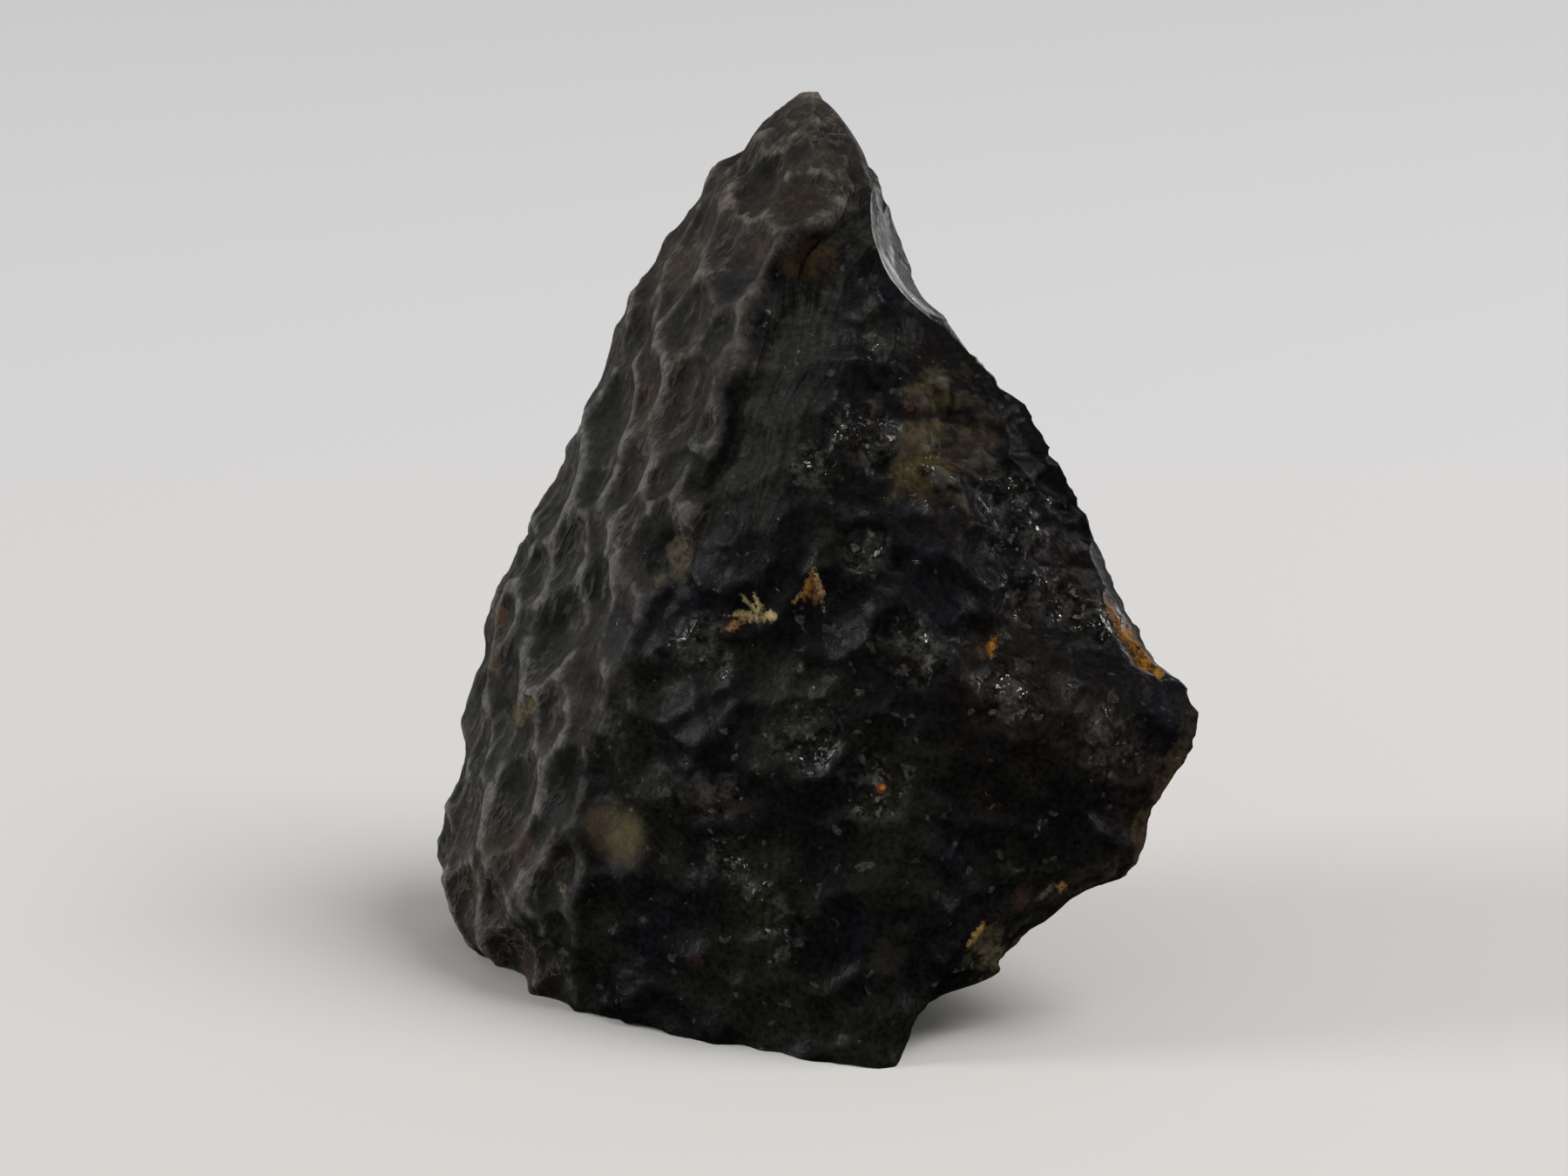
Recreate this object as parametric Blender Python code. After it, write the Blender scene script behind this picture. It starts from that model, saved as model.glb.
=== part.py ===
"""Indochinite tektite: one broken piece of natural black glass, standing on its broken foot.

The stone is laid out in its face frame, in millimetres: across runs to the right, deep runs back
from the tall face and up runs along it. Seven rails climb the stone, and every height's section
is the smooth loop through them. The loop is roughened and pitted, glass is flaked off the
right side and the back, and the stone is leaned back and cut off flat where it stands.
"""

import math
import random
from typing import NamedTuple

import bmesh
import bpy
import numpy as np
from mathutils import Vector, noise

MM = 0.001
FACE_LEAN = math.radians(18.0)
CENTRE_ACROSS = -0.05
CENTRE_DEEP = 13.31

# The rails, each a run of (up, across, deep) from below the foot to the tip.
EDGE = [
    (-3.0, 2.4, 2.4), (0.0, 3.3, 2.6), (1.5, 4.3, 2.8), (2.3, 4.9, 2.9), (3.1, 6.2, 3.1),
    (3.7, 8.1, 3.2), (4.2, 8.8, 3.2), (4.9, 9.1, 3.2), (5.6, 9.8, 3.1), (6.3, 10.6, 3.0),
    (7.1, 11.6, 3.0), (7.9, 12.9, 2.9), (8.5, 14.5, 2.8), (9.2, 15.3, 2.7), (10.3, 15.7, 2.6),
    (11.9, 16.1, 2.5), (12.7, 16.7, 2.4), (13.6, 17.2, 2.4), (15.5, 17.8, 2.2),
    (17.0, 17.4, 2.6), (19.0, 16.0, 4.2), (21.5, 14.8, 5.0), (24.7, 13.0, 4.4), (27.9, 11.3, 3.0),
    (29.5, 10.5, 3.1), (31.1, 8.8, 3.3), (33.0, 6.9, 3.6), (34.3, 5.7, 4.0), (36.0, 5.2, 4.4),
    (38.5, 4.0, 5.2), (40.5, 2.95, 6.6), (41.9, 2.5, 7.4), (43.3, 1.7, 8.4), (44.3, 0.9, 9.2),
    (44.9, 0.1, 9.7),
]
BACK = [
    (-3.0, 4.2, 10.6), (3.0, 5.2, 10.6), (8.7, 8.0, 10.4), (16.7, 10.0, 10.2), (24.7, 8.8, 10.4),
    (30.0, 7.8, 10.8), (34.3, 5.9, 10.8), (37.9, 4.3, 10.8), (40.4, 3.2, 11.2), (42.6, 2.4, 11.4),
    (44.9, 0.2, 10.2),
]
SPINE = [
    (-3.0, -2.0, 18.4), (8.0, -1.5, 18.6), (16.7, -0.6, 18.2), (24.7, -0.4, 17.4), (32.0, 0.0, 16.2),
    (38.0, 0.0, 14.4), (42.6, 0.0, 12.6), (44.9, 0.0, 10.5),
]
HEEL = [
    (-3.0, -12.4, 20.6), (5.0, -13.0, 20.8), (12.7, -12.4, 20.4), (20.7, -10.6, 19.6),
    (28.7, -8.0, 18.2), (36.7, -5.2, 16.2), (40.7, -3.2, 14.2), (42.8, -2.0, 12.8),
    (44.9, -0.5, 10.8),
]
LIMB = [
    (-3.0, -13.8, 12.4), (2.0, -14.0, 12.4), (4.0, -14.7, 12.8), (5.0, -15.9, 13.2),
    (6.0, -16.8, 13.4), (8.0, -17.3, 14.0), (11.0, -17.2, 14.4), (13.0, -16.4, 14.4),
    (15.0, -16.1, 14.4), (17.0, -15.9, 14.3), (19.5, -15.1, 14.2), (21.0, -14.5, 14.0),
    (23.0, -13.7, 13.8), (25.0, -12.8, 13.6),
    (28.0, -11.4, 13.2), (31.0, -10.3, 12.8), (34.0, -9.2, 12.4), (36.0, -7.9, 12.1),
    (38.0, -6.9, 11.8), (40.0, -5.7, 11.4), (42.0, -4.1, 10.9), (43.7, -2.5, 10.4),
    (44.9, -0.4, 9.8),
]
SHOULDER = [
    (-3.0, -9.8, 6.4), (3.0, -10.4, 6.0), (8.7, -10.4, 5.0), (12.7, -9.8, 4.4), (16.7, -8.7, 3.7),
    (20.7, -7.3, 3.1), (24.7, -5.8, 2.7), (28.7, -4.5, 2.6), (32.7, -3.2, 2.9), (36.7, -2.0, 3.7),
    (40.7, -0.4, 5.3), (43.0, -0.4, 6.8), (44.9, -0.1, 9.2),
]
BELLY = [
    (-3.0, 2.2, 0.4), (0.0, 2.6, 0.2), (3.0, 3.0, -0.1), (8.7, 3.6, -0.8), (12.7, 4.2, -1.2),
    (16.7, 5.0, -1.4), (20.7, 5.0, -1.2), (24.7, 4.6, -0.6), (28.7, 4.0, 0.4), (32.7, 3.2, 1.6),
    (36.7, 2.6, 3.4), (40.7, 2.3, 5.6), (43.0, 1.7, 7.2), (44.9, 0.4, 9.3),
]
RAILS = (EDGE, BACK, SPINE, HEEL, LIMB, SHOULDER, BELLY)
FRONT_FROM = 4.6 / len(RAILS)
TIP_FROM = 33.5

# The brow where the weathered skin ends: (up, across, drop) along it, and how far the drop fades out.
BROW = [
    (3.0, -11.6, 0.0), (6.7, -11.2, 0.0), (13.0, -9.6, 0.0), (20.0, -7.6, 0.3), (25.0, -5.4, 0.5),
    (28.0, -4.2, 0.7), (32.7, -2.9, 1.1), (35.0, -2.3, 1.5), (36.2, -1.8, 1.6), (38.6, 0.7, 1.2),
    (40.6, 2.8, 0.4), (42.0, 3.4, 0.0),
]

BROW_EDGE = 0.7
BROW_REACH = 5.5
BROW_FACING = 0.33

# The notches of the sharp edge: their length and their depth.
NOTCH_LENGTH = 1.5
NOTCH_DEPTH = 0.5

AROUND = 140
RINGS = 120
SWELL_HEIGHT = 0.35
SWELL_LENGTH = 6.0
MOST_TRIANGLES = 11000
BALL_FINENESS = 5

CUP_SEED = 11
CUP_TRIES = 12000
CUP_GAP = 0.56
CUP_FACING = 0.35
CUP_SLOPE = np.array((-0.45, 0.0, -0.893))

# How far a point near the sharp edge or either end may sink or rise, as a share of its distance.
SINK_SHARE = 0.30
RISE_SHARE = 0.12
TIP_UP = 44.9
LOW_UP = -3.0

FRONT = -1
REAR = 1


class Cup(NamedTuple):
    """A shallow dimple: its middle and outward direction, rim radius and depth, and how it is drawn out."""

    middle: np.ndarray
    outward: np.ndarray
    radius: float
    depth: float
    along: np.ndarray = np.zeros(3)
    stretch: float = 1.0


class Dent(NamedTuple):
    """A dent placed by eye: across, up, the side that it is on, its radius and its depth."""

    across: float
    up: float
    side: int
    radius: float
    depth: float


class Flake(NamedTuple):
    """A curved chip struck off the stone: the rounded body it leaves the hollow of, and its ripples."""

    name: str
    middle: tuple
    radii: tuple
    struck_from: tuple
    ripple_height: float
    ripple_length: float


# Wide soft dents, the worn scars of old breaks.
HOLLOWS = (
    Dent(1.2, 34.8, FRONT, 3.6, 0.9),
    Dent(6.2, 28.6, FRONT, 3.6, 0.6),
    Dent(-6.1, 23.2, FRONT, 2.2, 0.5),
    Dent(9.5, 20.0, FRONT, 5.0, 0.7),
    Dent(-2.0, 19.0, FRONT, 6.0, 0.7),
    Dent(9.0, 9.5, FRONT, 5.5, 0.8),
    Dent(-3.0, 30.0, REAR, 8.5, 1.9),
    Dent(-8.5, 14.0, REAR, 7.5, 1.7),
    Dent(3.0, 15.0, REAR, 7.0, 1.6),
)

# Round bowls of the front that stand out from the rest.
BOWLS = (
    Dent(3.1, 14.6, FRONT, 1.8, 0.55),
    Dent(-2.0, 10.0, FRONT, 1.8, 0.55),
    Dent(2.8, 10.0, FRONT, 2.1, 0.60),
    Dent(-9.0, 10.3, FRONT, 2.0, 0.60),
    Dent(-5.6, 6.4, FRONT, 1.7, 0.50),
    Dent(-3.6, 13.6, FRONT, 1.5, 0.40),
    Dent(6.0, 28.6, FRONT, 2.9, 0.60),
    Dent(-0.2, 36.9, FRONT, 1.7, 0.65),
    Dent(-0.5, 39.7, FRONT, 2.0, 0.75),
    Dent(-2.6, 41.4, FRONT, 1.5, 0.50),
    Dent(-3.7, 37.7, FRONT, 1.9, 0.65),
    Dent(-5.4, 33.9, FRONT, 2.1, 0.70),
)

FLAKES = (
    Flake("flake_upper_right", (9.2, 2.0, 39.5), (6.6, 14.5, 6.6), (3.0, 6.0, 41.0), 0.03, 2.6),
    Flake("flake_middle_right", (18.6, 2.9, 25.5), (6.2, 4.5, 8.3), (12.0, 4.0, 29.0), 0.04, 1.8),
    Flake("flake_side", (23.6, 17.0, 24.4), (14.9, 14.9, 14.9), (12.0, 6.0, 29.0), 0.12, 2.4),
    Flake("flake_lower_right", (15.2, 13.6, -0.6), (13.2, 13.2, 13.2), (14.0, 3.0, 8.0), 0.10, 2.2),
    Flake("flake_under_tip", (24.0, 12.0, 8.6), (13.0, 13.0, 13.0), (17.0, 3.0, 15.0), 0.10, 2.0),
    Flake("flake_rear", (9.5, 25.0, 33.0), (14.2, 14.2, 14.2), (3.0, 13.0, 40.0), 0.14, 2.8),
    Flake("chip_corner", (13.7, 2.6, 5.7), (2.5, 2.5, 2.5), (14.0, 2.6, 8.0), 0.0, 1.0),
    Flake("chip_low", (9.8, 1.5, 4.4), (1.9, 1.9, 1.9), (8.0, 3.0, 4.0), 0.0, 1.0),
    Flake("chip_shelf", (15.0, 1.2, 7.6), (1.9, 1.9, 1.9), (14.0, 3.0, 8.0), 0.0, 1.0),
    Flake("chip_side", (17.6, 1.6, 11.2), (1.6, 1.6, 1.6), (16.0, 2.0, 12.0), 0.0, 1.0),
)


def through(knots, places):
    """Smooth curve through knots, rows of (place, value, ...), read at each of places."""
    knots = np.array(knots, float)
    at, values = knots[:, 0], knots[:, 1:]
    steps = np.diff(at)
    slopes = np.diff(values, axis=0) / steps[:, None]
    tangents = np.vstack([slopes[:1], (slopes[:-1] + slopes[1:]) / 2, slopes[-1:]])
    places = np.clip(places, at[0], at[-1])
    span = np.clip(np.searchsorted(at, places, side="right") - 1, 0, len(steps) - 1)
    width = steps[span][:, None]
    t = ((places - at[span]) / steps[span])[:, None]
    rise = t * t * (3 - 2 * t)
    return (
        values[span] * (1 - rise)
        + values[span + 1] * rise
        + tangents[span] * width * t * (1 - t) ** 2
        - tangents[span + 1] * width * t * t * (1 - t)
    )


def smooth_step(values):
    """Values clipped to 0 to 1 and eased at both ends."""
    t = np.clip(values, 0, 1)
    return t * t * (3 - 2 * t)


def edge_line(ups):
    """The sharp right edge's across and deep at heights up the face, notched where it is thin."""
    line = through(EDGE, ups)
    thin = smooth_step((ups - 1.0) / 2.0) * smooth_step((TIP_FROM + 0.5 - ups) / 2.0)
    bites = np.array([abs(noise.noise(Vector((0.3, 7.1, up / NOTCH_LENGTH)))) for up in ups])
    line[:, 0] -= NOTCH_DEPTH * thin * bites
    return line


def skin_points(turns, ups):
    """Points of the unpitted skin, at a share of a turn round the section and a height up the face."""
    turns, ups = np.asarray(turns, float), np.asarray(ups, float)
    corners = np.stack([edge_line(ups)] + [through(rail, ups) for rail in RAILS[1:]], axis=1)
    loop = np.concatenate([corners, corners[:, :1]], axis=1)
    sides = len(RAILS)
    place = np.clip(turns, 0, 1) * sides
    side = np.clip(place.astype(int), 0, sides - 1)
    t = (place - side)[:, None]
    row = np.arange(len(ups))
    before, start = loop[row, np.maximum(side - 1, 0)], loop[row, side]
    end, after = loop[row, side + 1], loop[row, np.minimum(side + 2, sides)]
    leave, arrive = (end - before) / 2, (after - start) / 2
    rise = t * t * (3 - 2 * t)
    across_deep = (
        start * (1 - rise) + end * rise + leave * t * (1 - t) ** 2 - arrive * t * t * (1 - t)
    )
    return np.column_stack([across_deep, ups]) * MM


def skin_outward(turn, up, step=0.004, rise=0.2):
    """The outward direction of the skin at one place."""
    around = skin_points([turn - step, turn + step], [up, up])
    along = skin_points([turn, turn], [up - rise, up + rise])
    outward = np.cross(around[1] - around[0], along[1] - along[0])
    return outward / np.linalg.norm(outward)


def cup_size(on_front, up):
    """The rim radius of the cups, in millimetres, and their steepness: deeper on the weathered side."""
    if on_front:
        return (1.2, 2.3), 0.30
    if up > TIP_FROM:
        return (1.3, 2.6), 0.50
    return (1.0, 2.5), 0.52


def placed(dent, points, outward):
    """The dent as a cup, at the point of its side of the stone that lies nearest to it."""
    away = np.hypot(points[:, 0] / MM - dent.across, points[:, 2] / MM - dent.up)
    away[outward[:, 1] * dent.side < CUP_FACING] = np.inf
    nearest = int(np.argmin(away))
    return Cup(points[nearest], outward[nearest], dent.radius * MM, dent.depth * MM)


def scatter_cups(first):
    """Cups strewn over the skin round the first ones, so near that their rims cross."""
    draw = random.Random(CUP_SEED)
    cups = list(first)
    middles = np.array([cup.middle for cup in cups])
    radii = np.array([cup.radius for cup in cups])
    for _ in range(CUP_TRIES):
        turn, up = draw.random(), draw.uniform(-2.5, 44.6)
        middle = skin_points([turn], [up])[0]
        on_front = turn > FRONT_FROM and middle[0] / MM > through(BROW, np.array([up]))[0, 0]
        (least, most), steepness = cup_size(on_front, up)
        radius = draw.uniform(least, most) * MM
        depth = radius * steepness * draw.uniform(0.7, 1.25)
        stretch = 1.0 if on_front else draw.uniform(1.2, 2.1)
        between = middles - middle
        drawn_in = np.outer(between @ CUP_SLOPE, CUP_SLOPE) * (1 - 1 / stretch)
        if (np.linalg.norm(between - drawn_in, axis=1) < CUP_GAP * (radii + radius)).any():
            continue
        turned = CUP_SLOPE + np.array([draw.uniform(-0.7, 0.7), 0.0, draw.uniform(-0.2, 0.2)])
        outward = skin_outward(turn, up)
        along = turned - outward * (turned @ outward)
        cups.append(Cup(middle, outward, radius, depth, along / np.linalg.norm(along), stretch))
        middles = np.vstack([middles, middle])
        radii = np.append(radii, radius)
    return cups


def blank_of_skin():
    """A closed tube, from a cylinder, whose points lie on the smooth skin."""
    bm = bmesh.new()
    bmesh.ops.create_cone(bm, cap_ends=True, segments=AROUND, radius1=1, radius2=1, depth=2)
    upright = [edge for edge in bm.edges if abs(edge.verts[0].co.z - edge.verts[1].co.z) > 1]
    bmesh.ops.subdivide_edges(bm, edges=upright, cuts=RINGS)
    turns = [(math.atan2(vert.co.y, vert.co.x) / math.tau) % 1 for vert in bm.verts]
    low, high = RAILS[0][0][0], RAILS[0][-1][0]
    ups = [low + (high - low) * (vert.co.z + 1) / 2 for vert in bm.verts]
    for vert, point in zip(bm.verts, skin_points(turns, ups)):
        vert.co = point
    bmesh.ops.poke(bm, faces=[face for face in bm.faces if len(face.verts) > 4])
    bmesh.ops.recalc_face_normals(bm, faces=bm.faces)
    mesh = bpy.data.meshes.new("tektite")
    bm.to_mesh(mesh)
    bm.free()
    return mesh


def points_of(mesh):
    """The mesh's points and its outward directions at them."""
    points = np.array([vert.co[:] for vert in mesh.vertices])
    outward = np.array([vert.normal[:] for vert in mesh.vertices])
    return points, outward


def move(mesh, points):
    """Puts the mesh's points at new places."""
    mesh.vertices.foreach_set("co", points.astype(np.float32).ravel())
    mesh.update()


def room_to_move(points):
    """How far each point lies from the sharp right edge or an end, whichever is nearest."""
    ups = points[:, 2] / MM
    edge = edge_line(ups)
    edge_gap = np.hypot(points[:, 0] / MM - edge[:, 0], points[:, 1] / MM - edge[:, 1])
    return np.minimum.reduce([edge_gap, TIP_UP - ups, ups - LOW_UP]) * MM


def share_of_radius(cup, points, outward):
    """The squared distance of each point from the cup's middle, as a share of its radius squared."""
    away = points - cup.middle
    inward = away @ cup.outward
    drawn_out = (away @ cup.along) ** 2 * (1 - 1 / cup.stretch**2)
    share = ((away**2).sum(axis=1) - inward**2 - drawn_out) / cup.radius**2
    share[(outward @ cup.outward < CUP_FACING) | (np.abs(inward) > 2 * cup.radius)] = 1
    return np.minimum(share, 1)


def brow_drop(points, outward):
    """How far the front lies below the weathered skin, just right of the brow."""
    line = through(BROW, points[:, 2] / MM)
    beyond = points[:, 0] / MM - line[:, 0]
    start = np.clip(beyond / BROW_EDGE + 0.5, 0, 1)
    fade = np.clip(1 - beyond / BROW_REACH, 0, 1)
    facing = np.clip(-outward[:, 1] / BROW_FACING, 0, 1)
    return line[:, 1] * MM * start * fade**2 * facing


def front_share(points, outward):
    """1 on the front, 0 on the weathered skin, and between them beside the brow."""
    beyond = points[:, 0] / MM - through(BROW, points[:, 2] / MM)[:, 0]
    facing = smooth_step((0.15 - outward[:, 1]) / 0.5)
    return smooth_step(beyond / 2.4 + 0.2) * facing


def wear(mesh):
    """Presses the hollows, the drop below the brow and every cup into the mesh, and swells the rest."""
    points, outward = points_of(mesh)
    room = room_to_move(points)
    drop = brow_drop(points, outward)
    for hollow in HOLLOWS:
        cup = placed(hollow, points, outward)
        drop += cup.depth * (1 - share_of_radius(cup, points, outward)) ** 2
    swell = np.array([noise.noise(Vector(point / (SWELL_LENGTH * MM))) for point in points])
    first = np.clip(swell * SWELL_HEIGHT * MM - drop, -SINK_SHARE * room, RISE_SHARE * room)
    move(mesh, points + outward * first[:, None])

    points, outward = points_of(mesh)
    depths = np.zeros(len(points))
    for cup in scatter_cups([placed(bowl, points, outward) for bowl in BOWLS]):
        depths = np.maximum(depths, cup.depth * (1 - share_of_radius(cup, points, outward)))
    front = front_share(points, outward)
    level = front * depths[front > 0.5].mean() + (1 - front) * depths[front < 0.5].mean()
    both = np.clip(first + level - depths, -SINK_SHARE * room, RISE_SHARE * room)
    move(mesh, points + outward * (both - first)[:, None])


def flake_cutter(flake, frame, collection):
    """The body that leaves a flake's hollow, with ripples that spread from where it was struck."""
    bm = bmesh.new()
    bmesh.ops.create_icosphere(bm, subdivisions=BALL_FINENESS, radius=1)
    bmesh.ops.scale(bm, verts=bm.verts, vec=Vector(flake.radii) * MM)
    struck = (Vector(flake.struck_from) - Vector(flake.middle)) * MM
    for vert in bm.verts:
        ring = (vert.co - struck).length / (flake.ripple_length * MM)
        fade = 1 / (1 + ring)
        vert.co += vert.co.normalized() * (flake.ripple_height * MM * fade * math.sin(math.tau * ring))
    mesh = bpy.data.meshes.new(flake.name)
    bm.to_mesh(mesh)
    bm.free()
    cutter = bpy.data.objects.new(flake.name, mesh)
    cutter.location = Vector(flake.middle) * MM
    cutter.parent = frame
    cutter.hide_render = True
    cutter.display_type = "WIRE"
    collection.objects.link(cutter)
    return cutter


def ground_cutter(collection):
    """The block below the ground, which leaves the stone's flat foot."""
    bm = bmesh.new()
    bmesh.ops.create_cube(bm, size=60 * MM)
    bmesh.ops.translate(bm, verts=bm.verts, vec=(0, 0, -30 * MM))
    mesh = bpy.data.meshes.new("ground")
    bm.to_mesh(mesh)
    bm.free()
    cutter = bpy.data.objects.new("ground", mesh)
    cutter.hide_render = True
    cutter.display_type = "WIRE"
    collection.objects.link(cutter)
    return cutter


def cut(obj, cutter):
    """Takes the cutter's shape out of the object."""
    modifier = obj.modifiers.new(cutter.name, "BOOLEAN")
    modifier.operation = "DIFFERENCE"
    modifier.solver = "EXACT"
    modifier.object = cutter


def glass_material():
    """Natural black glass with a worn, slightly rough skin."""
    material = bpy.data.materials.new("tektite_glass")
    material.use_nodes = True
    shader = material.node_tree.nodes["Principled BSDF"]
    shader.inputs["Base Color"].default_value = (0.018, 0.017, 0.015, 1)
    shader.inputs["Roughness"].default_value = 0.38
    shader.inputs["Metallic"].default_value = 0.0
    return material


def named_collection(name):
    """A new collection in the scene."""
    collection = bpy.data.collections.new(name)
    bpy.context.scene.collection.children.link(collection)
    return collection


def main():
    """Builds the stone."""
    for obj in list(bpy.data.objects):
        bpy.data.objects.remove(obj)
    stone_parts = named_collection("indochinite_tektite")
    cutters = named_collection("cutters")

    frame = bpy.data.objects.new("face_frame", None)
    frame.rotation_euler.x = -FACE_LEAN
    frame.location = (-CENTRE_ACROSS * MM, -CENTRE_DEEP * MM, 0)
    stone_parts.objects.link(frame)

    stone = bpy.data.objects.new("tektite", blank_of_skin())
    stone.parent = frame
    stone_parts.objects.link(stone)
    wear(stone.data)

    for flake in FLAKES:
        cut(stone, flake_cutter(flake, frame, cutters))
    thin = stone.modifiers.new("fewer_faces", "DECIMATE")
    thin.ratio = MOST_TRIANGLES / (2 * len(stone.data.polygons))
    cut(stone, ground_cutter(cutters))

    stone.data.materials.clear()
    stone.data.materials.append(glass_material())
    stone.data.shade_smooth()


main()
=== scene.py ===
"""Indochinite tektite: the fine surface of the broken stone, its finishes, its light and its camera.

The stone is laid out in its face frame, in millimetres: across runs to the right, deep runs back
from the tall face and up runs along it. It is worn, pitted and flaked there, and then leaned back
and set down on its broken foot.
"""

import logging
import math
import random
from dataclasses import dataclass, field, replace
from enum import Enum
from functools import partial, reduce

import bmesh
import bpy
import numpy as np
from mathutils import Matrix, Vector, noise
from mathutils.bvhtree import BVHTree
from mathutils.kdtree import KDTree


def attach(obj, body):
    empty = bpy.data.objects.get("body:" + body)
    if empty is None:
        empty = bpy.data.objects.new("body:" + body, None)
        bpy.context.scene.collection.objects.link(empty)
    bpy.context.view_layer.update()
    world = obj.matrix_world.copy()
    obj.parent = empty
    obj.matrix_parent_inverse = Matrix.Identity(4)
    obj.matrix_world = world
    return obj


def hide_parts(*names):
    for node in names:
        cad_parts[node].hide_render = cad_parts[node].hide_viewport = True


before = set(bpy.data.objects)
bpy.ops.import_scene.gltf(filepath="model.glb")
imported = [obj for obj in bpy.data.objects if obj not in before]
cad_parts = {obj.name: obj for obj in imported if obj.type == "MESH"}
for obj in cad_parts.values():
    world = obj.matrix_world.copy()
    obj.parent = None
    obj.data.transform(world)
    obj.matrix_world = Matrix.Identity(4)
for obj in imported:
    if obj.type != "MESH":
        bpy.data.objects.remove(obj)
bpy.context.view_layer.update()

LOG = logging.getLogger("tektite")

MM = 0.001
FACE_LEAN = math.radians(18.0)
CENTRE_ACROSS = -0.05
CENTRE_DEEP = 13.31

Rail = list[tuple[float, float, float]]

# The rails, each a run of (up, across, deep) from below the foot to the tip.
EDGE: Rail = [
    (-3.0, 2.4, 2.4), (0.0, 3.3, 2.6), (1.5, 4.3, 2.8), (2.3, 4.9, 2.9), (3.1, 6.2, 3.1),
    (3.7, 8.1, 3.2), (4.2, 8.8, 3.2), (4.9, 9.1, 3.2), (5.6, 9.8, 3.1), (6.3, 10.6, 3.0),
    (7.1, 11.6, 3.0), (7.9, 12.9, 2.9), (8.5, 14.5, 2.8), (9.2, 15.3, 2.7), (10.3, 15.7, 2.6),
    (11.9, 16.1, 2.5), (12.7, 16.7, 2.4), (13.6, 17.2, 2.4), (15.5, 17.8, 2.2),
    (17.0, 17.4, 2.6), (19.0, 16.0, 4.2), (21.5, 14.8, 5.0), (24.7, 13.0, 4.4), (27.9, 11.3, 3.0),
    (29.5, 10.5, 3.1), (31.1, 8.8, 3.3), (33.0, 6.9, 3.6), (34.3, 5.7, 4.0), (36.0, 5.2, 4.4),
    (38.5, 4.0, 5.2), (40.5, 2.95, 6.6), (41.9, 2.5, 7.4), (43.3, 1.7, 8.4), (44.3, 0.9, 9.2),
    (44.9, 0.1, 9.7),
]
BACK: Rail = [
    (-3.0, 4.2, 10.6), (3.0, 5.2, 10.6), (8.7, 8.0, 10.4), (16.7, 10.0, 10.2), (24.7, 8.8, 10.4),
    (30.0, 7.8, 10.8), (34.3, 5.9, 10.8), (37.9, 4.3, 10.8), (40.4, 3.2, 11.2), (42.6, 2.4, 11.4),
    (44.9, 0.2, 10.2),
]
SPINE: Rail = [
    (-3.0, -2.0, 18.4), (8.0, -1.5, 18.6), (16.7, -0.6, 18.2), (24.7, -0.4, 17.4), (32.0, 0.0, 16.2),
    (38.0, 0.0, 14.4), (42.6, 0.0, 12.6), (44.9, 0.0, 10.5),
]
HEEL: Rail = [
    (-3.0, -12.4, 20.6), (5.0, -13.0, 20.8), (12.7, -12.4, 20.4), (20.7, -10.6, 19.6),
    (28.7, -8.0, 18.2), (36.7, -5.2, 16.2), (40.7, -3.2, 14.2), (42.8, -2.0, 12.8),
    (44.9, -0.5, 10.8),
]
LIMB: Rail = [
    (-3.0, -13.8, 12.4), (2.0, -14.0, 12.4), (4.0, -14.7, 12.8), (5.0, -15.9, 13.2),
    (6.0, -16.8, 13.4), (8.0, -17.3, 14.0), (11.0, -17.2, 14.4), (13.0, -16.4, 14.4),
    (15.0, -16.1, 14.4), (17.0, -15.9, 14.3), (19.5, -15.1, 14.2), (21.0, -14.5, 14.0),
    (23.0, -13.7, 13.8), (25.0, -12.8, 13.6),
    (28.0, -11.4, 13.2), (31.0, -10.3, 12.8), (34.0, -9.2, 12.4), (36.0, -7.9, 12.1),
    (38.0, -6.9, 11.8), (40.0, -5.7, 11.4), (42.0, -4.1, 10.9), (43.7, -2.5, 10.4),
    (44.9, -0.4, 9.8),
]
SHOULDER: Rail = [
    (-3.0, -9.8, 6.4), (3.0, -10.4, 6.0), (8.7, -10.4, 5.0), (12.7, -9.8, 4.4), (16.7, -8.7, 3.7),
    (20.7, -7.3, 3.1), (24.7, -5.8, 2.7), (28.7, -4.5, 2.6), (32.7, -3.2, 2.9), (36.7, -2.0, 3.7),
    (40.7, -0.4, 5.3), (43.0, -0.4, 6.8), (44.9, -0.1, 9.2),
]
BELLY: Rail = [
    (-3.0, 2.2, 0.4), (0.0, 2.6, 0.2), (3.0, 3.0, -0.1), (8.7, 3.6, -0.8), (12.7, 4.2, -1.2),
    (16.7, 5.0, -1.4), (20.7, 5.0, -1.2), (24.7, 4.6, -0.6), (28.7, 4.0, 0.4), (32.7, 3.2, 1.6),
    (36.7, 2.6, 3.4), (40.7, 2.3, 5.6), (43.0, 1.7, 7.2), (44.9, 0.4, 9.3),
]
RAILS = (EDGE, BACK, SPINE, HEEL, LIMB, SHOULDER, BELLY)
LOW_UP, TIP_UP = EDGE[0][0], EDGE[-1][0]

# The share of a turn from which a point is on the front, and the height from which it is on the tip.
FRONT_FROM = 4.6 / len(RAILS)
TIP_FROM = 33.5

# The brow where the weathered skin ends: (up, across, drop) along it.
BROW: Rail = [
    (3.0, -11.6, 0.0), (6.7, -11.2, 0.0), (13.0, -9.6, 0.0), (20.0, -7.6, 0.3), (25.0, -5.4, 0.5),
    (28.0, -4.2, 0.7), (32.7, -2.9, 1.1), (35.0, -2.3, 1.5), (36.2, -1.8, 1.6), (38.6, 0.7, 1.2),
    (40.6, 2.8, 0.4), (42.0, 3.4, 0.0),
]

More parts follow.
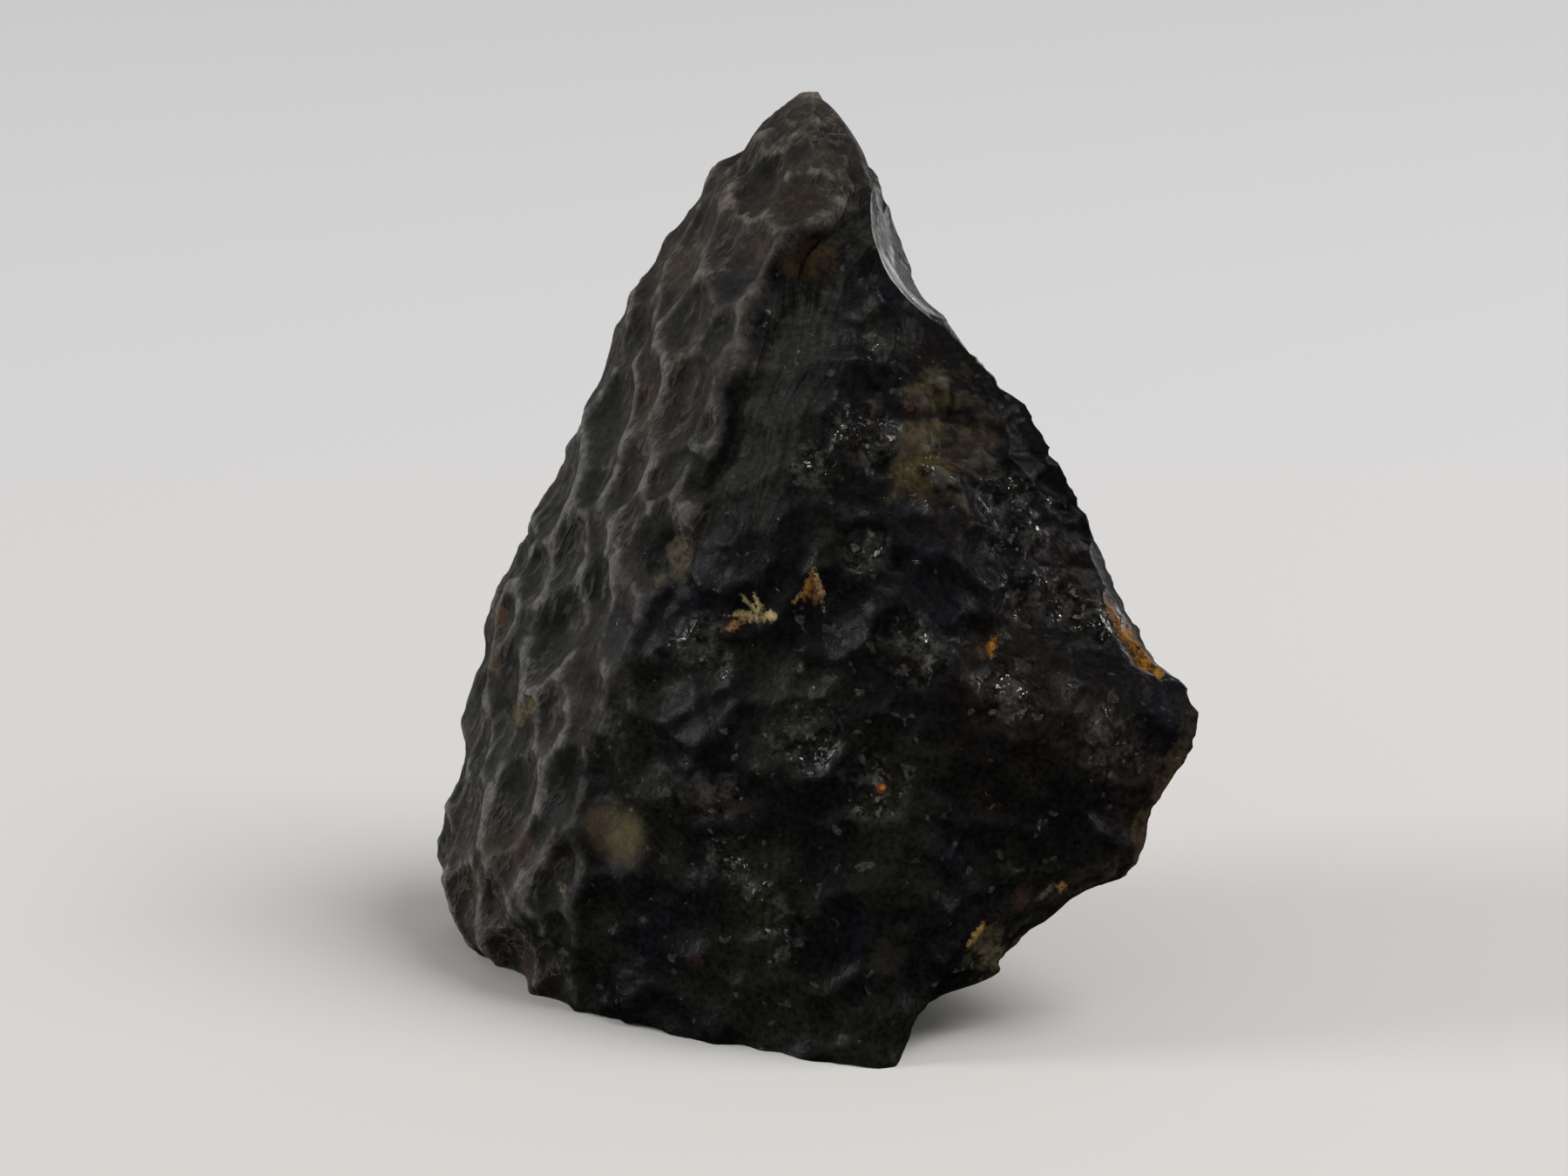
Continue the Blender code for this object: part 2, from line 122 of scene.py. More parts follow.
# The notches of the sharp edge: the length and the depth of each size, in millimetres.
EDGE_NOTCHES = ((1.5, 0.50), (0.6, 0.40))

# How far the pattern of the skin leans to the right, and the way its cups are drawn out.
SKIN_LEAN = math.radians(26.0)
CUP_SLOPE = (-0.45, 0.0, -0.893)

# How far a point may sink or rise, as a share of its distance to the sharp edge and the two ends.
SINK_SHARE = 0.30
RISE_SHARE = 0.12

# How nearly a point faces the way that a dent is pressed from, at least, as a cosine.
FACING = 0.35

# How far round a cup's middle its points are looked for, as a share of its radius.
CUP_SEARCH = 1.6

# How far a point of a break lies from the worn skin, at least, in millimetres.
NEW_GAP = 0.002

# Where a place in the face is looked for from, and what stands in for it beside the stone, as deep.
BEFORE_FACE = -20.0
BEHIND_FACE = 6.0


class Side(Enum):
    """The side of the stone that a dent is on, as the sign of its outward direction."""

    FRONT = -1
    REAR = 1


@dataclass(frozen=True)
class Cup:
    """A shallow dimple: its middle and outward direction, its rim radius, depth and stretch, in metres."""

    middle: np.ndarray
    outward: np.ndarray
    radius: float
    depth: float
    along: np.ndarray = field(default_factory=lambda: np.zeros(3))
    stretch: float = 1.0


@dataclass(frozen=True)
class Dent:
    """A listed dent: across, up, radius and depth, in millimetres, and its side."""

    across: float
    up: float
    radius: float
    depth: float
    side: Side = Side.FRONT


@dataclass(frozen=True)
class Flake:
    """A curved chip struck off the stone: the rounded body that it leaves the hollow of, and its ripples."""

    name: str
    middle: tuple[float, float, float]
    radii: tuple[float, float, float]
    struck_from: tuple[float, float, float]
    ripple_height: float
    ripple_length: float


@dataclass(frozen=True)
class Litter:
    """Small dimples strewn over a mesh: how many, their sizes, and where they may lie."""

    seed: int
    count: int
    least: float
    most: float
    steepness: float
    on_front: float
    on_skin: float


@dataclass(frozen=True)
class Cluster:
    """A knot of small sharp chips that glint: its place on the front, its reach and their number."""

    across: float
    up: float
    reach: float
    count: int


def dents(*rows: tuple[float, float, float, float], side: Side = Side.FRONT) -> tuple[Dent, ...]:
    """The dents of one side, each from its across, up, radius and depth."""
    return tuple(Dent(*row, side) for row in rows)


HOLLOWS = dents(
    (1.2, 34.8, 3.6, 0.9), (6.2, 28.6, 3.6, 0.6), (-6.1, 23.2, 2.2, 0.5), (9.5, 20.0, 5.0, 0.7),
    (-2.0, 19.0, 6.0, 0.7), (9.0, 9.5, 5.5, 0.8),
) + dents((-3.0, 30.0, 8.5, 1.9), (-8.5, 14.0, 7.5, 1.7), (3.0, 15.0, 7.0, 1.6), side=Side.REAR)

BOWLS = dents(
    (3.1, 14.6, 1.8, 0.55), (-2.0, 10.0, 1.8, 0.55), (2.8, 10.0, 2.1, 0.60), (-9.0, 10.3, 2.0, 0.60),
    (-5.6, 6.4, 1.7, 0.50), (-3.6, 13.6, 1.5, 0.40), (6.0, 28.6, 2.9, 0.60), (-0.2, 36.9, 1.7, 0.65),
    (-0.5, 39.7, 2.0, 0.75), (-2.6, 41.4, 1.5, 0.50), (-3.7, 37.7, 1.9, 0.65), (-5.4, 33.9, 2.1, 0.70),
)

# Low rounded lumps, given as dents that stand out.
LUMPS = dents(
    (4.8, 30.3, 1.0, 0.38), (6.4, 30.6, 1.1, 0.42), (7.9, 29.6, 1.2, 0.40), (5.0, 28.5, 1.2, 0.45),
    (6.7, 28.4, 1.1, 0.40), (5.9, 26.9, 1.1, 0.42), (7.7, 27.2, 1.0, 0.34), (2.2, 28.5, 1.1, 0.40),
    (0.8, 30.0, 0.9, 0.30), (8.6, 26.0, 0.9, 0.34), (9.6, 24.9, 1.0, 0.40), (10.8, 25.2, 0.8, 0.32),
    (9.9, 22.0, 0.9, 0.36), (4.6, 19.0, 1.0, 0.36), (6.2, 18.4, 0.9, 0.32), (8.9, 17.0, 1.0, 0.36),
    (-0.3, 15.3, 1.1, 0.38), (-2.1, 7.4, 1.1, 0.42), (-1.5, 5.7, 1.0, 0.38), (13.4, 15.0, 0.9, 0.32),
)

FLAKES = (
    Flake("flake_upper_right", (9.2, 2.0, 39.5), (6.6, 14.5, 6.6), (3.0, 6.0, 41.0), 0.03, 2.6),
    Flake("flake_middle_right", (18.6, 2.9, 25.5), (6.2, 4.5, 8.3), (12.0, 4.0, 29.0), 0.04, 1.8),
    Flake("flake_side", (23.6, 17.0, 24.4), (14.9, 14.9, 14.9), (12.0, 6.0, 29.0), 0.12, 2.4),
    Flake("flake_lower_right", (15.2, 13.6, -0.6), (13.2, 13.2, 13.2), (14.0, 3.0, 8.0), 0.10, 2.2),
    Flake("flake_under_tip", (24.0, 12.0, 8.6), (13.0, 13.0, 13.0), (17.0, 3.0, 15.0), 0.10, 2.0),
    Flake("flake_rear", (9.5, 25.0, 33.0), (14.2, 14.2, 14.2), (3.0, 13.0, 40.0), 0.14, 2.8),
    Flake("chip_corner", (13.7, 2.6, 5.7), (2.5, 2.5, 2.5), (14.0, 2.6, 8.0), 0.0, 1.0),
    Flake("chip_low", (9.8, 1.5, 4.4), (1.9, 1.9, 1.9), (8.0, 3.0, 4.0), 0.0, 1.0),
    Flake("chip_shelf", (15.0, 1.2, 7.6), (1.9, 1.9, 1.9), (14.0, 3.0, 8.0), 0.0, 1.0),
    Flake("chip_side", (17.6, 1.6, 11.2), (1.6, 1.6, 1.6), (16.0, 2.0, 12.0), 0.0, 1.0),
)

LITTERS = (
    Litter(21, 1500, 0.40, 0.95, 0.20, 0.60, 0.40),
    Litter(22, 2600, 0.30, 0.50, 0.24, 0.80, 0.20),
)

CLUSTERS = tuple(Cluster(*row) for row in (
    (2.4, 28.7, 1.6, 26), (5.2, 26.7, 1.3, 20), (0.4, 27.1, 1.2, 16), (2.4, 23.3, 1.3, 18),
    (8.8, 25.9, 1.5, 24), (9.4, 24.3, 1.4, 24), (10.0, 21.5, 1.4, 20), (13.8, 20.1, 1.0, 14),
    (12.0, 20.7, 1.2, 16), (4.8, 18.9, 1.6, 22), (8.8, 16.7, 1.4, 22), (-0.2, 15.1, 1.6, 22),
    (2.8, 12.5, 1.5, 18), (13.6, 14.7, 1.5, 20), (-4.1, 9.7, 0.8, 12), (-3.3, 8.8, 0.7, 10),
    (-2.2, 7.6, 1.0, 18), (-1.6, 6.5, 0.8, 14), (-1.2, 5.3, 1.0, 18), (-5.2, 19.1, 1.3, 14),
    (-4.4, 12.4, 1.1, 14),
))


def through(knots: Rail, places: np.ndarray) -> np.ndarray:
    """Smooth curve through knots.

    Args:
        knots: Rows of (place, value, ...), in order of place.
        places: Where the curve is read.

    Returns:
        One row of values for each place.
    """
    rows = np.array(knots, float)
    at, values = rows[:, 0], rows[:, 1:]
    steps = np.diff(at)
    slopes = np.diff(values, axis=0) / steps[:, None]
    tangents = np.vstack([slopes[:1], (slopes[:-1] + slopes[1:]) / 2, slopes[-1:]])
    places = np.clip(places, at[0], at[-1])
    span = np.clip(np.searchsorted(at, places, side="right") - 1, 0, len(steps) - 1)
    width = steps[span][:, None]
    t = ((places - at[span]) / steps[span])[:, None]
    rise = t * t * (3 - 2 * t)
    return (
        values[span] * (1 - rise)
        + values[span + 1] * rise
        + tangents[span] * width * t * (1 - t) ** 2
        - tangents[span + 1] * width * t * t * (1 - t)
    )


def smooth_step(values: np.ndarray) -> np.ndarray:
    """Values clipped to 0 to 1 and eased at both ends."""
    t = np.clip(values, 0, 1)
    return t * t * (3 - 2 * t)


def rising(values: np.ndarray, start: float, width: float) -> np.ndarray:
    """0 up to the start and 1 past the border, which is that wide."""
    return smooth_step((values - start) / width)


def falling(values: np.ndarray, end: float, width: float) -> np.ndarray:
    """1 up to the border, which is that wide, and 0 past the end."""
    return smooth_step((end - values) / width)


def noise_at(points: np.ndarray, length: float, octaves: int = 1, shift: float = 0.0) -> np.ndarray:
    """Smooth noise, about -1 to 1, at each point.

    Args:
        points: The points, in metres.
        length: The size of its lumps, in millimetres.
        octaves: How many finer layers it has.
        shift: Moves the pattern, so that two calls differ.

    Returns:
        One value for each point.
    """
    scaled = points / (length * MM) + shift
    if octaves == 1:
        return np.array([noise.noise(Vector(p)) for p in scaled])
    return np.array([noise.fractal(Vector(p), 0.6, 2.1, octaves) for p in scaled])


def rows_of(items: bpy.types.bpy_prop_collection, name: str, width: int, kind: type) -> np.ndarray:
    """One property of many items, read at once.

    Args:
        items: The items.
        name: The property's name.
        width: How many numbers it has.
        kind: The kind of number that it is read as.

    Returns:
        One row for each item.
    """
    flat = np.empty(len(items) * width, kind)
    items.foreach_get(name, flat)
    return flat.reshape(-1, width)


def points_of(mesh: bpy.types.Mesh) -> np.ndarray:
    """The mesh's points, in metres."""
    return rows_of(mesh.vertices, "co", 3, np.float32).astype(float)


def outward_of(mesh: bpy.types.Mesh) -> np.ndarray:
    """The outward direction at each of the mesh's points."""
    return rows_of(mesh.vertex_normals, "vector", 3, np.float32).astype(float)


def edges_of(mesh: bpy.types.Mesh) -> np.ndarray:
    """The mesh's edges as pairs of point indices."""
    return rows_of(mesh.edges, "vertices", 2, np.int32)


def mesh_of(bm: bmesh.types.BMesh, name: str) -> bpy.types.Mesh:
    """Turns a bmesh into a mesh and frees it.

    Args:
        bm: The bmesh.
        name: The mesh's name.

    Returns:
        The mesh.
    """
    mesh = bpy.data.meshes.new(name)
    bm.to_mesh(mesh)
    bm.free()
    return mesh


def linked(name: str, data: bpy.types.ID) -> bpy.types.Object:
    """Makes an object and puts it into the scene.

    Args:
        name: Its name.
        data: Its mesh, light or camera.

    Returns:
        The object.
    """
    made = bpy.data.objects.new(name, data)
    bpy.context.scene.collection.objects.link(made)
    return made


def evened(values: np.ndarray, ends: np.ndarray, rounds: int) -> np.ndarray:
    """Values at a mesh's points, each moved some times towards the average of its neighbours.

    Args:
        values: One value for each point.
        ends: The mesh's edges as pairs of point indices.
        rounds: How many times the values are moved.

    Returns:
        The evened values.
    """
    count = len(values)
    degree = np.maximum(np.bincount(ends.ravel(), minlength=count), 1)
    for _ in range(rounds):
        total = np.bincount(ends[:, 0], values[ends[:, 1]], count)
        total += np.bincount(ends[:, 1], values[ends[:, 0]], count)
        values = (values + total / degree) / 2
    return values


def edge_line(ups: np.ndarray) -> np.ndarray:
    """The sharp right edge, notched where it is knife-thin.

    Args:
        ups: Heights up the face, in millimetres.

    Returns:
        The edge's across and deep at each height, in millimetres.
    """
    line = through(EDGE, ups)
    thin = rising(ups, start=1.0, width=2.0) * falling(ups, end=34.0, width=2.0)
    for length, reach in EDGE_NOTCHES:
        bites = np.array([abs(noise.noise(Vector((0.3, 7.1, up / length)))) for up in ups])
        line[:, 0] -= reach * thin * bites
    return line


@dataclass(frozen=True)
class Skin:
    """The smooth surface before any wear, as a tube whose sections run through the rails."""

    rails: tuple[Rail, ...] = RAILS
    around: int = 372
    rings: int = 268

    def points(self, turns: np.ndarray, ups: np.ndarray) -> np.ndarray:
        """Points of the skin.

        Args:
            turns: Shares of a turn round the section, from the sharp right edge.
            ups: Heights up the face, in millimetres.

        Returns:
            The points, in metres.
        """
        turns, ups = np.asarray(turns, float), np.asarray(ups, float)
        lines = [edge_line(ups)] + [through(rail, ups) for rail in self.rails[1:]]
        corners = np.stack(lines, axis=1)
        loop = np.concatenate([corners, corners[:, :1]], axis=1)
        sides = len(self.rails)
        place = np.clip(turns, 0, 1) * sides
        side = np.clip(place.astype(int), 0, sides - 1)
        t = (place - side)[:, None]
        row = np.arange(len(ups))
        before, start = loop[row, np.maximum(side - 1, 0)], loop[row, side]
        end, after = loop[row, side + 1], loop[row, np.minimum(side + 2, sides)]
        leave, arrive = (end - before) / 2, (after - start) / 2
        rise = t * t * (3 - 2 * t)
        across_deep = (
            start * (1 - rise) + end * rise + leave * t * (1 - t) ** 2 - arrive * t * t * (1 - t)
        )
        return np.column_stack([across_deep, ups]) * MM

    def outward(self, turn: float, up: float, step: float = 0.004, rise: float = 0.2) -> np.ndarray:
        """The outward direction of the skin at one place.

        Args:
            turn: The share of a turn round the section.
            up: The height up the face, in millimetres.
            step: How far to each side the skin is read, as a share of a turn.
            rise: How far up and down it is read, in millimetres.

        Returns:
            The direction, of length 1.
        """
        around = self.points([turn - step, turn + step], [up, up])
        along = self.points([turn, turn], [up - rise, up + rise])
        outward = np.cross(around[1] - around[0], along[1] - along[0])
        return outward / np.linalg.norm(outward)

    def blank(self) -> tuple[bpy.types.Mesh, np.ndarray]:
        """A closed tube, from a cylinder, whose points lie on the skin.

        Returns:
            The mesh, and the share of a turn of each of its points.
        """
        bm = bmesh.new()
        bmesh.ops.create_cone(bm, cap_ends=True, segments=self.around, radius1=1, radius2=1, depth=2)
        upright = [edge for edge in bm.edges if abs(edge.verts[0].co.z - edge.verts[1].co.z) > 1]
        bmesh.ops.subdivide_edges(bm, edges=upright, cuts=self.rings)
        turns = [(math.atan2(vert.co.y, vert.co.x) / math.tau) % 1 for vert in bm.verts]
        ups = [LOW_UP + (TIP_UP - LOW_UP) * (vert.co.z + 1) / 2 for vert in bm.verts]
        for vert, point in zip(bm.verts, self.points(turns, ups)):
            vert.co = point
        bmesh.ops.poke(bm, faces=[face for face in bm.faces if len(face.verts) > 4])
        bmesh.ops.recalc_face_normals(bm, faces=bm.faces)
        poked = len(bm.verts) - len(turns)
        return mesh_of(bm, "tektite_surface"), np.array(turns + [0.5] * poked)


class Surface:
    """A mesh's points and outward directions as arrays, with what presses into them."""

    def __init__(self, mesh: bpy.types.Mesh, turns: np.ndarray) -> None:
        """Reads the mesh.

        Args:
            mesh: The mesh to wear.
            turns: Each point's share of a turn round the section.
        """
        self.mesh = mesh
        self.turns = turns
        self.read()
        self.ends = edges_of(mesh)
        self.sunk = np.zeros(len(self.points))
        gaps = self.points[:, :2] / MM - edge_line(self.ups)
        self.edge_gap = np.hypot(gaps[:, 0], gaps[:, 1])
        self.end_gap = np.minimum(TIP_UP - self.ups, self.ups - LOW_UP)

    @property
    def ups(self) -> np.ndarray:
        """Each point's height up the face, in millimetres."""
        return self.points[:, 2] / MM

    @property
    def past_brow(self) -> np.ndarray:
        """How far to the right of the brow each point lies, in millimetres."""
        return self.points[:, 0] / MM - through(BROW, self.ups)[:, 0]

    @property
    def in_front(self) -> np.ndarray:
        """1 at each point that faces forwards, and less as it turns aside."""
        return np.clip(-self.outward[:, 1] * 3, 0, 1)

    def read(self) -> None:
        """Takes the points and outward directions from the mesh again, and sorts them by place."""
        self.points = points_of(self.mesh)
        self.outward = outward_of(self.mesh)
        self.tree = KDTree(len(self.points))
        for index, point in enumerate(self.points):
            self.tree.insert(point, index)
        self.tree.balance()

    def raise_by(self, heights: np.ndarray) -> None:
        """Moves every point out by its height and reads the mesh again.

        Near the sharp right edge and the two ends the points keep so close to their first places
        that no two faces cross.

        Args:
            heights: How far each point moves, in metres.
        """
        gap = np.minimum(self.edge_gap, self.end_gap) * MM
        sunk = np.clip(self.sunk + heights, -SINK_SHARE * gap, RISE_SHARE * gap)
        moved = self.points + self.outward * (sunk - self.sunk)[:, None]
        self.sunk = sunk
        self.mesh.vertices.foreach_set("co", moved.astype(np.float32).ravel())
        self.mesh.update()
        self.read()

    def away_from(self, across: float, up: float) -> np.ndarray:
        """How far each point lies from a place in the face, seen from the front, in millimetres."""
        return np.hypot(self.points[:, 0] / MM - across, self.points[:, 2] / MM - up)

    def placed(self, dent: Dent) -> Cup:
        """Finds a dent's place on the stone.

        Args:
            dent: The dent.

        Returns:
            The cup, at the point of its side of the stone that lies nearest to it.
        """
        away = self.away_from(dent.across, dent.up)
        away[self.outward[:, 1] * dent.side.value < FACING] = np.inf
        nearest = int(np.argmin(away))
        return Cup(self.points[nearest], self.outward[nearest], dent.radius * MM, dent.depth * MM)

    def under(self, cup: Cup) -> tuple[np.ndarray, np.ndarray]:
        """The points inside a cup.

        Args:
            cup: The cup.

        Returns:
            Their indices, and their squared distance from its middle as a share of its radius squared.
        """
        near = self.tree.find_range(Vector(cup.middle), cup.radius * CUP_SEARCH * cup.stretch)
        index = np.array([item[1] for item in near], int)
        if not len(index):
            return index, np.empty(0)
        away = self.points[index] - cup.middle
        inward = away @ cup.outward
        drawn_out = (away @ cup.along) ** 2 * (1 - 1 / cup.stretch**2)
        share = ((away**2).sum(axis=1) - inward**2 - drawn_out) / cup.radius**2
        inside = (self.outward[index] @ cup.outward > FACING) & (share < 1)
        return index[inside], share[inside]

    def press(self, depths: np.ndarray, cup: Cup) -> None:
        """Presses a cup where it is deeper than what is there.

        Args:
            depths: The depth at each point, in metres, which is changed.
            cup: The cup.
        """
        index, share = self.under(cup)
        depths[index] = np.maximum(depths[index], cup.depth * (1 - share))


@dataclass(frozen=True)
class Wear:
    """Everything that time pressed into the skin, from the widest hollow to the smallest pit."""

    swell_height: float = 0.35
    swell_length: float = 6.0
    brow_edge: float = 0.7
    brow_reach: float = 5.5
    brow_facing: float = 0.33
    cup_seed: int = 11
    cup_tries: int = 12000
    cup_gap: float = 0.56
    cup_ups: tuple[float, float] = (-2.5, 44.6)
    cup_depths: tuple[float, float] = (0.7, 1.25)
    cup_stretches: tuple[float, float] = (1.2, 2.1)
    cup_rounds: int = 2
    bowl_rounds: int = 1
    level_rounds: int = 40
    litter_depths: tuple[float, float] = (0.5, 1.3)
    chip_seed: int = 31
    chip_radii: tuple[float, float] = (0.28, 0.7)
    chip_steepness: tuple[float, float] = (0.16, 0.34)
    chip_tilt: float = 0.35
    flow_calm: float = 0.85
    grain_height: float = 0.045
    grain_length: float = 0.9
    flow_height: float = 0.025
    flow_length: float = 1.1

    def apply(self, surface: Surface, skin: Skin) -> None:
        """Wears the surface down, layer by layer.

        Args:
            surface: The surface.
            skin: The skin that it started as.
        """
        self.press_hollows(surface)
        self.press_cups(surface, skin)
        self.press_litter(surface)
        grain = noise_at(surface.points, self.grain_length, 3, 5.0) * self.grain_height * MM
        lines = np.sin(math.tau * flow_place(surface) / self.flow_length)
        surface.raise_by(grain + lines * flow_share(surface) * self.flow_height * MM)

    def brow_drop(self, surface: Surface) -> np.ndarray:
        """How far the front lies below the weathered skin, just right of the brow.

        Args:
            surface: The surface.

        Returns:
            The drop at each point, in metres.
        """
        beyond = surface.past_brow
        start = np.clip(beyond / self.brow_edge + 0.5, 0, 1)
        fade = np.clip(1 - beyond / self.brow_reach, 0, 1)
        facing = np.clip(-surface.outward[:, 1] / self.brow_facing, 0, 1)
        return through(BROW, surface.ups)[:, 1] * MM * start * fade**2 * facing

    def press_hollows(self, surface: Surface) -> None:
        """Presses the drop below the brow and the wide hollows, and swells the rest.

        Args:
            surface: The surface.
        """
        drop = self.brow_drop(surface)
        for hollow in HOLLOWS:
            cup = surface.placed(hollow)
            index, share = surface.under(cup)
            drop[index] += cup.depth * (1 - share) ** 2
        swell = noise_at(surface.points, self.swell_length) * self.swell_height * MM
        surface.raise_by(swell - drop)

    def cup_size(self, on_front: bool, up: float) -> tuple[float, float, float]:
        """The size of the cups in one part of the stone.

        Args:
            on_front: Whether it is the front.
            up: Its height up the face, in millimetres.

        Returns:
            Their least and greatest rim radius, in millimetres, and their steepness.
        """
        if on_front:
            return 1.2, 2.3, 0.30
        return (1.3, 2.6, 0.50) if up > TIP_FROM else (1.0, 2.5, 0.52)

    def scatter(self, first: list[Cup], skin: Skin) -> list[Cup]:
        """Strews cups over the skin round the first ones, so near that their rims cross.

        Args:
            first: The cups that are already there.
            skin: The skin.

        Returns:
            All the cups.
        """
        draw = random.Random(self.cup_seed)
        slope = np.array(CUP_SLOPE)
        cups = list(first)
        middles = np.array([cup.middle for cup in cups])
        radii = np.array([cup.radius for cup in cups])
        for _ in range(self.cup_tries):
            turn, up = draw.random(), draw.uniform(*self.cup_ups)
            middle = skin.points([turn], [up])[0]
            on_front = turn > FRONT_FROM and middle[0] / MM > through(BROW, np.array([up]))[0, 0]
            least, most, steepness = self.cup_size(on_front, up)
            radius = draw.uniform(least, most) * MM
            depth = radius * steepness * draw.uniform(*self.cup_depths)
            between = middles - middle
            stretch = 1.0 if on_front else draw.uniform(*self.cup_stretches)
            gaps = np.linalg.norm(between - np.outer(between @ slope, slope) * (1 - 1 / stretch), axis=1)
            if (gaps < self.cup_gap * (radii + radius)).any():
                continue
            turned = slope + np.array([draw.uniform(-0.7, 0.7), 0.0, draw.uniform(-0.2, 0.2)])
            outward = skin.outward(turn, up)
            along = turned - outward * (turned @ outward)
            cups.append(Cup(middle, outward, radius, depth, along / np.linalg.norm(along), stretch))
            middles = np.vstack([middles, middle])
            radii = np.append(radii, radius)
        return cups

    def press_cups(self, surface: Surface, skin: Skin) -> None:
        """Presses the cups, of which the deepest wins where two overlap.

        Args:
            surface: The surface.
            skin: The skin that it started as.
        """
        depths = np.zeros(len(surface.points))
        for cup in self.scatter([surface.placed(bowl) for bowl in BOWLS], skin):
            surface.press(depths, cup)
        front = WORN_BORDER.share(surface)
        crisp = evened(depths, surface.ends, self.bowl_rounds)
        soft = evened(crisp, surface.ends, self.cup_rounds)
        glass, skin_only = front > 0.5, front < 0.5
        worn = np.where(glass, crisp[glass].mean(), soft[skin_only].mean())
        level = evened(worn, surface.ends, self.level_rounds)
        surface.raise_by(level - crisp * front - soft * (1 - front))

    def press_litter(self, surface: Surface) -> None:
        """Presses the small dimples and the sharp chips, and raises the lumps of the front.

        Args:
            surface: The surface.
        """
        depths = np.zeros(len(surface.points))
        for litter in LITTERS:
            draw = np.random.default_rng(litter.seed)
            for index in draw.integers(0, len(surface.points), litter.count):
                radius = draw.uniform(litter.least, litter.most) * MM
                chance = litter.on_front if surface.turns[index] > FRONT_FROM else litter.on_skin
                if draw.random() > chance:
                    continue
                depth = radius * litter.steepness * draw.uniform(*self.litter_depths)
                surface.press(depths, Cup(surface.points[index], surface.outward[index], radius, depth))
        heights = np.zeros(len(surface.points))
        for lump in LUMPS:
            surface.press(heights, surface.placed(lump))
        depths += self.chips(surface) - heights
        surface.raise_by(-depths * (1 - self.flow_calm * flow_share(surface)))

    def chips(self, surface: Surface) -> np.ndarray:
        """The small sharp chips of the clusters.

        Args:
            surface: The surface.

        Returns:
            Their depth at each point, in metres.
        """
        draw = random.Random(self.chip_seed)
        depths = np.zeros(len(surface.points))
        for cluster in CLUSTERS:
            for _ in range(cluster.count):
                angle, away = draw.uniform(0, math.tau), cluster.reach * math.sqrt(draw.random())
                across = cluster.across + away * math.cos(angle)
                up = cluster.up + away * math.sin(angle)
                radius = draw.uniform(*self.chip_radii)
                steepness = draw.uniform(*self.chip_steepness)
                cup = surface.placed(Dent(across, up, radius, radius * steepness))
                tilt = Vector((draw.uniform(-1, 1), draw.uniform(-0.3, 0.3), draw.uniform(-1, 1)))
                outward = Vector(cup.outward) + tilt * self.chip_tilt
                outward.normalize()
                surface.press(depths, replace(cup, outward=np.array(outward)))
        return depths


@dataclass(frozen=True)
class Border:
    """The ragged border along the brow, across which the skin gives way to the front."""

    ragged_length: float
    ragged_layers: int
    ragged_reach: float
    turn: float
    turn_width: float
    width: float
    start: float
    top: float
    top_width: float

    def share(self, surface: Surface) -> np.ndarray:
        """How much each point belongs to the front.

        Args:
            surface: The surface.

        Returns:
            Shares from 0 on the skin to 1 on the front.
        """
        ragged = noise_at(surface.points, self.ragged_length, self.ragged_layers, 3.0)
        beyond = surface.past_brow + ragged * self.ragged_reach
        facing = rising(-surface.outward[:, 1], self.turn, self.turn_width)
        top = falling(surface.ups, self.top, self.top_width)
        return smooth_step(beyond / self.width + self.start) * facing * top


# Where the cups turn shallow, and where the dull finish gives way to glass.
WORN_BORDER = Border(2.2, 2, 1.1, -0.15, 0.5, 2.4, 0.20, 43.0, 2.0)
DULL_BORDER = Border(2.6, 3, 2.0, -0.25, 0.6, 4.0, 0.68, 42.5, 2.5)


def flow_place(surface: Surface) -> np.ndarray:
    """Each point's place across the flow lines, in millimetres from the brow."""
    return surface.past_brow + noise_at(surface.points, 4.0, 1, 9.0) * 0.9


def flow_share(surface: Surface) -> np.ndarray:
    """How much of the flow-lined glass below the brow shows at each point.

    Args:
        surface: The surface.

    Returns:
        Shares from 0 to 1.
    """
    ups, beyond = surface.ups, surface.past_brow
    inside = rising(beyond, start=0.0, width=0.8) * falling(beyond, end=5.2, width=2.0)
    tall = rising(ups, start=22.0, width=4.0) * falling(ups, end=40.0, width=2.0)
    return inside * tall * surface.in_front


def cluster_share(surface: Surface) -> np.ndarray:
    """How near each point of the front lies to the middle of a cluster.

    Args:
        surface: The surface.

    Returns:
        Shares from 0 to 1.
    """
    found = np.zeros(len(surface.points))
    ragged = noise_at(surface.points, 1.4, 2, 11.0) * 0.35
    for cluster in CLUSTERS:
        away = surface.away_from(cluster.across, cluster.up) / cluster.reach
        found = np.maximum(found, smooth_step((1.25 + ragged - away) / 0.7))
    return found * surface.in_front


def painted_limb_sheen(surface: Surface) -> np.ndarray:
    """How far each point faces left, where the skin gets a pale painted sheen, from 0 to 1."""
    left = rising(-surface.outward[:, 0], start=0.62, width=0.30)
    return left * falling(surface.outward[:, 1], end=0.6, width=0.6)


def leaned() -> Matrix:
    """Takes the face frame, in metres, to the stone standing on its foot."""
    stood = Matrix.Translation((-CENTRE_ACROSS * MM, -CENTRE_DEEP * MM, 0))
    return stood @ Matrix.Rotation(-FACE_LEAN, 4, "X")


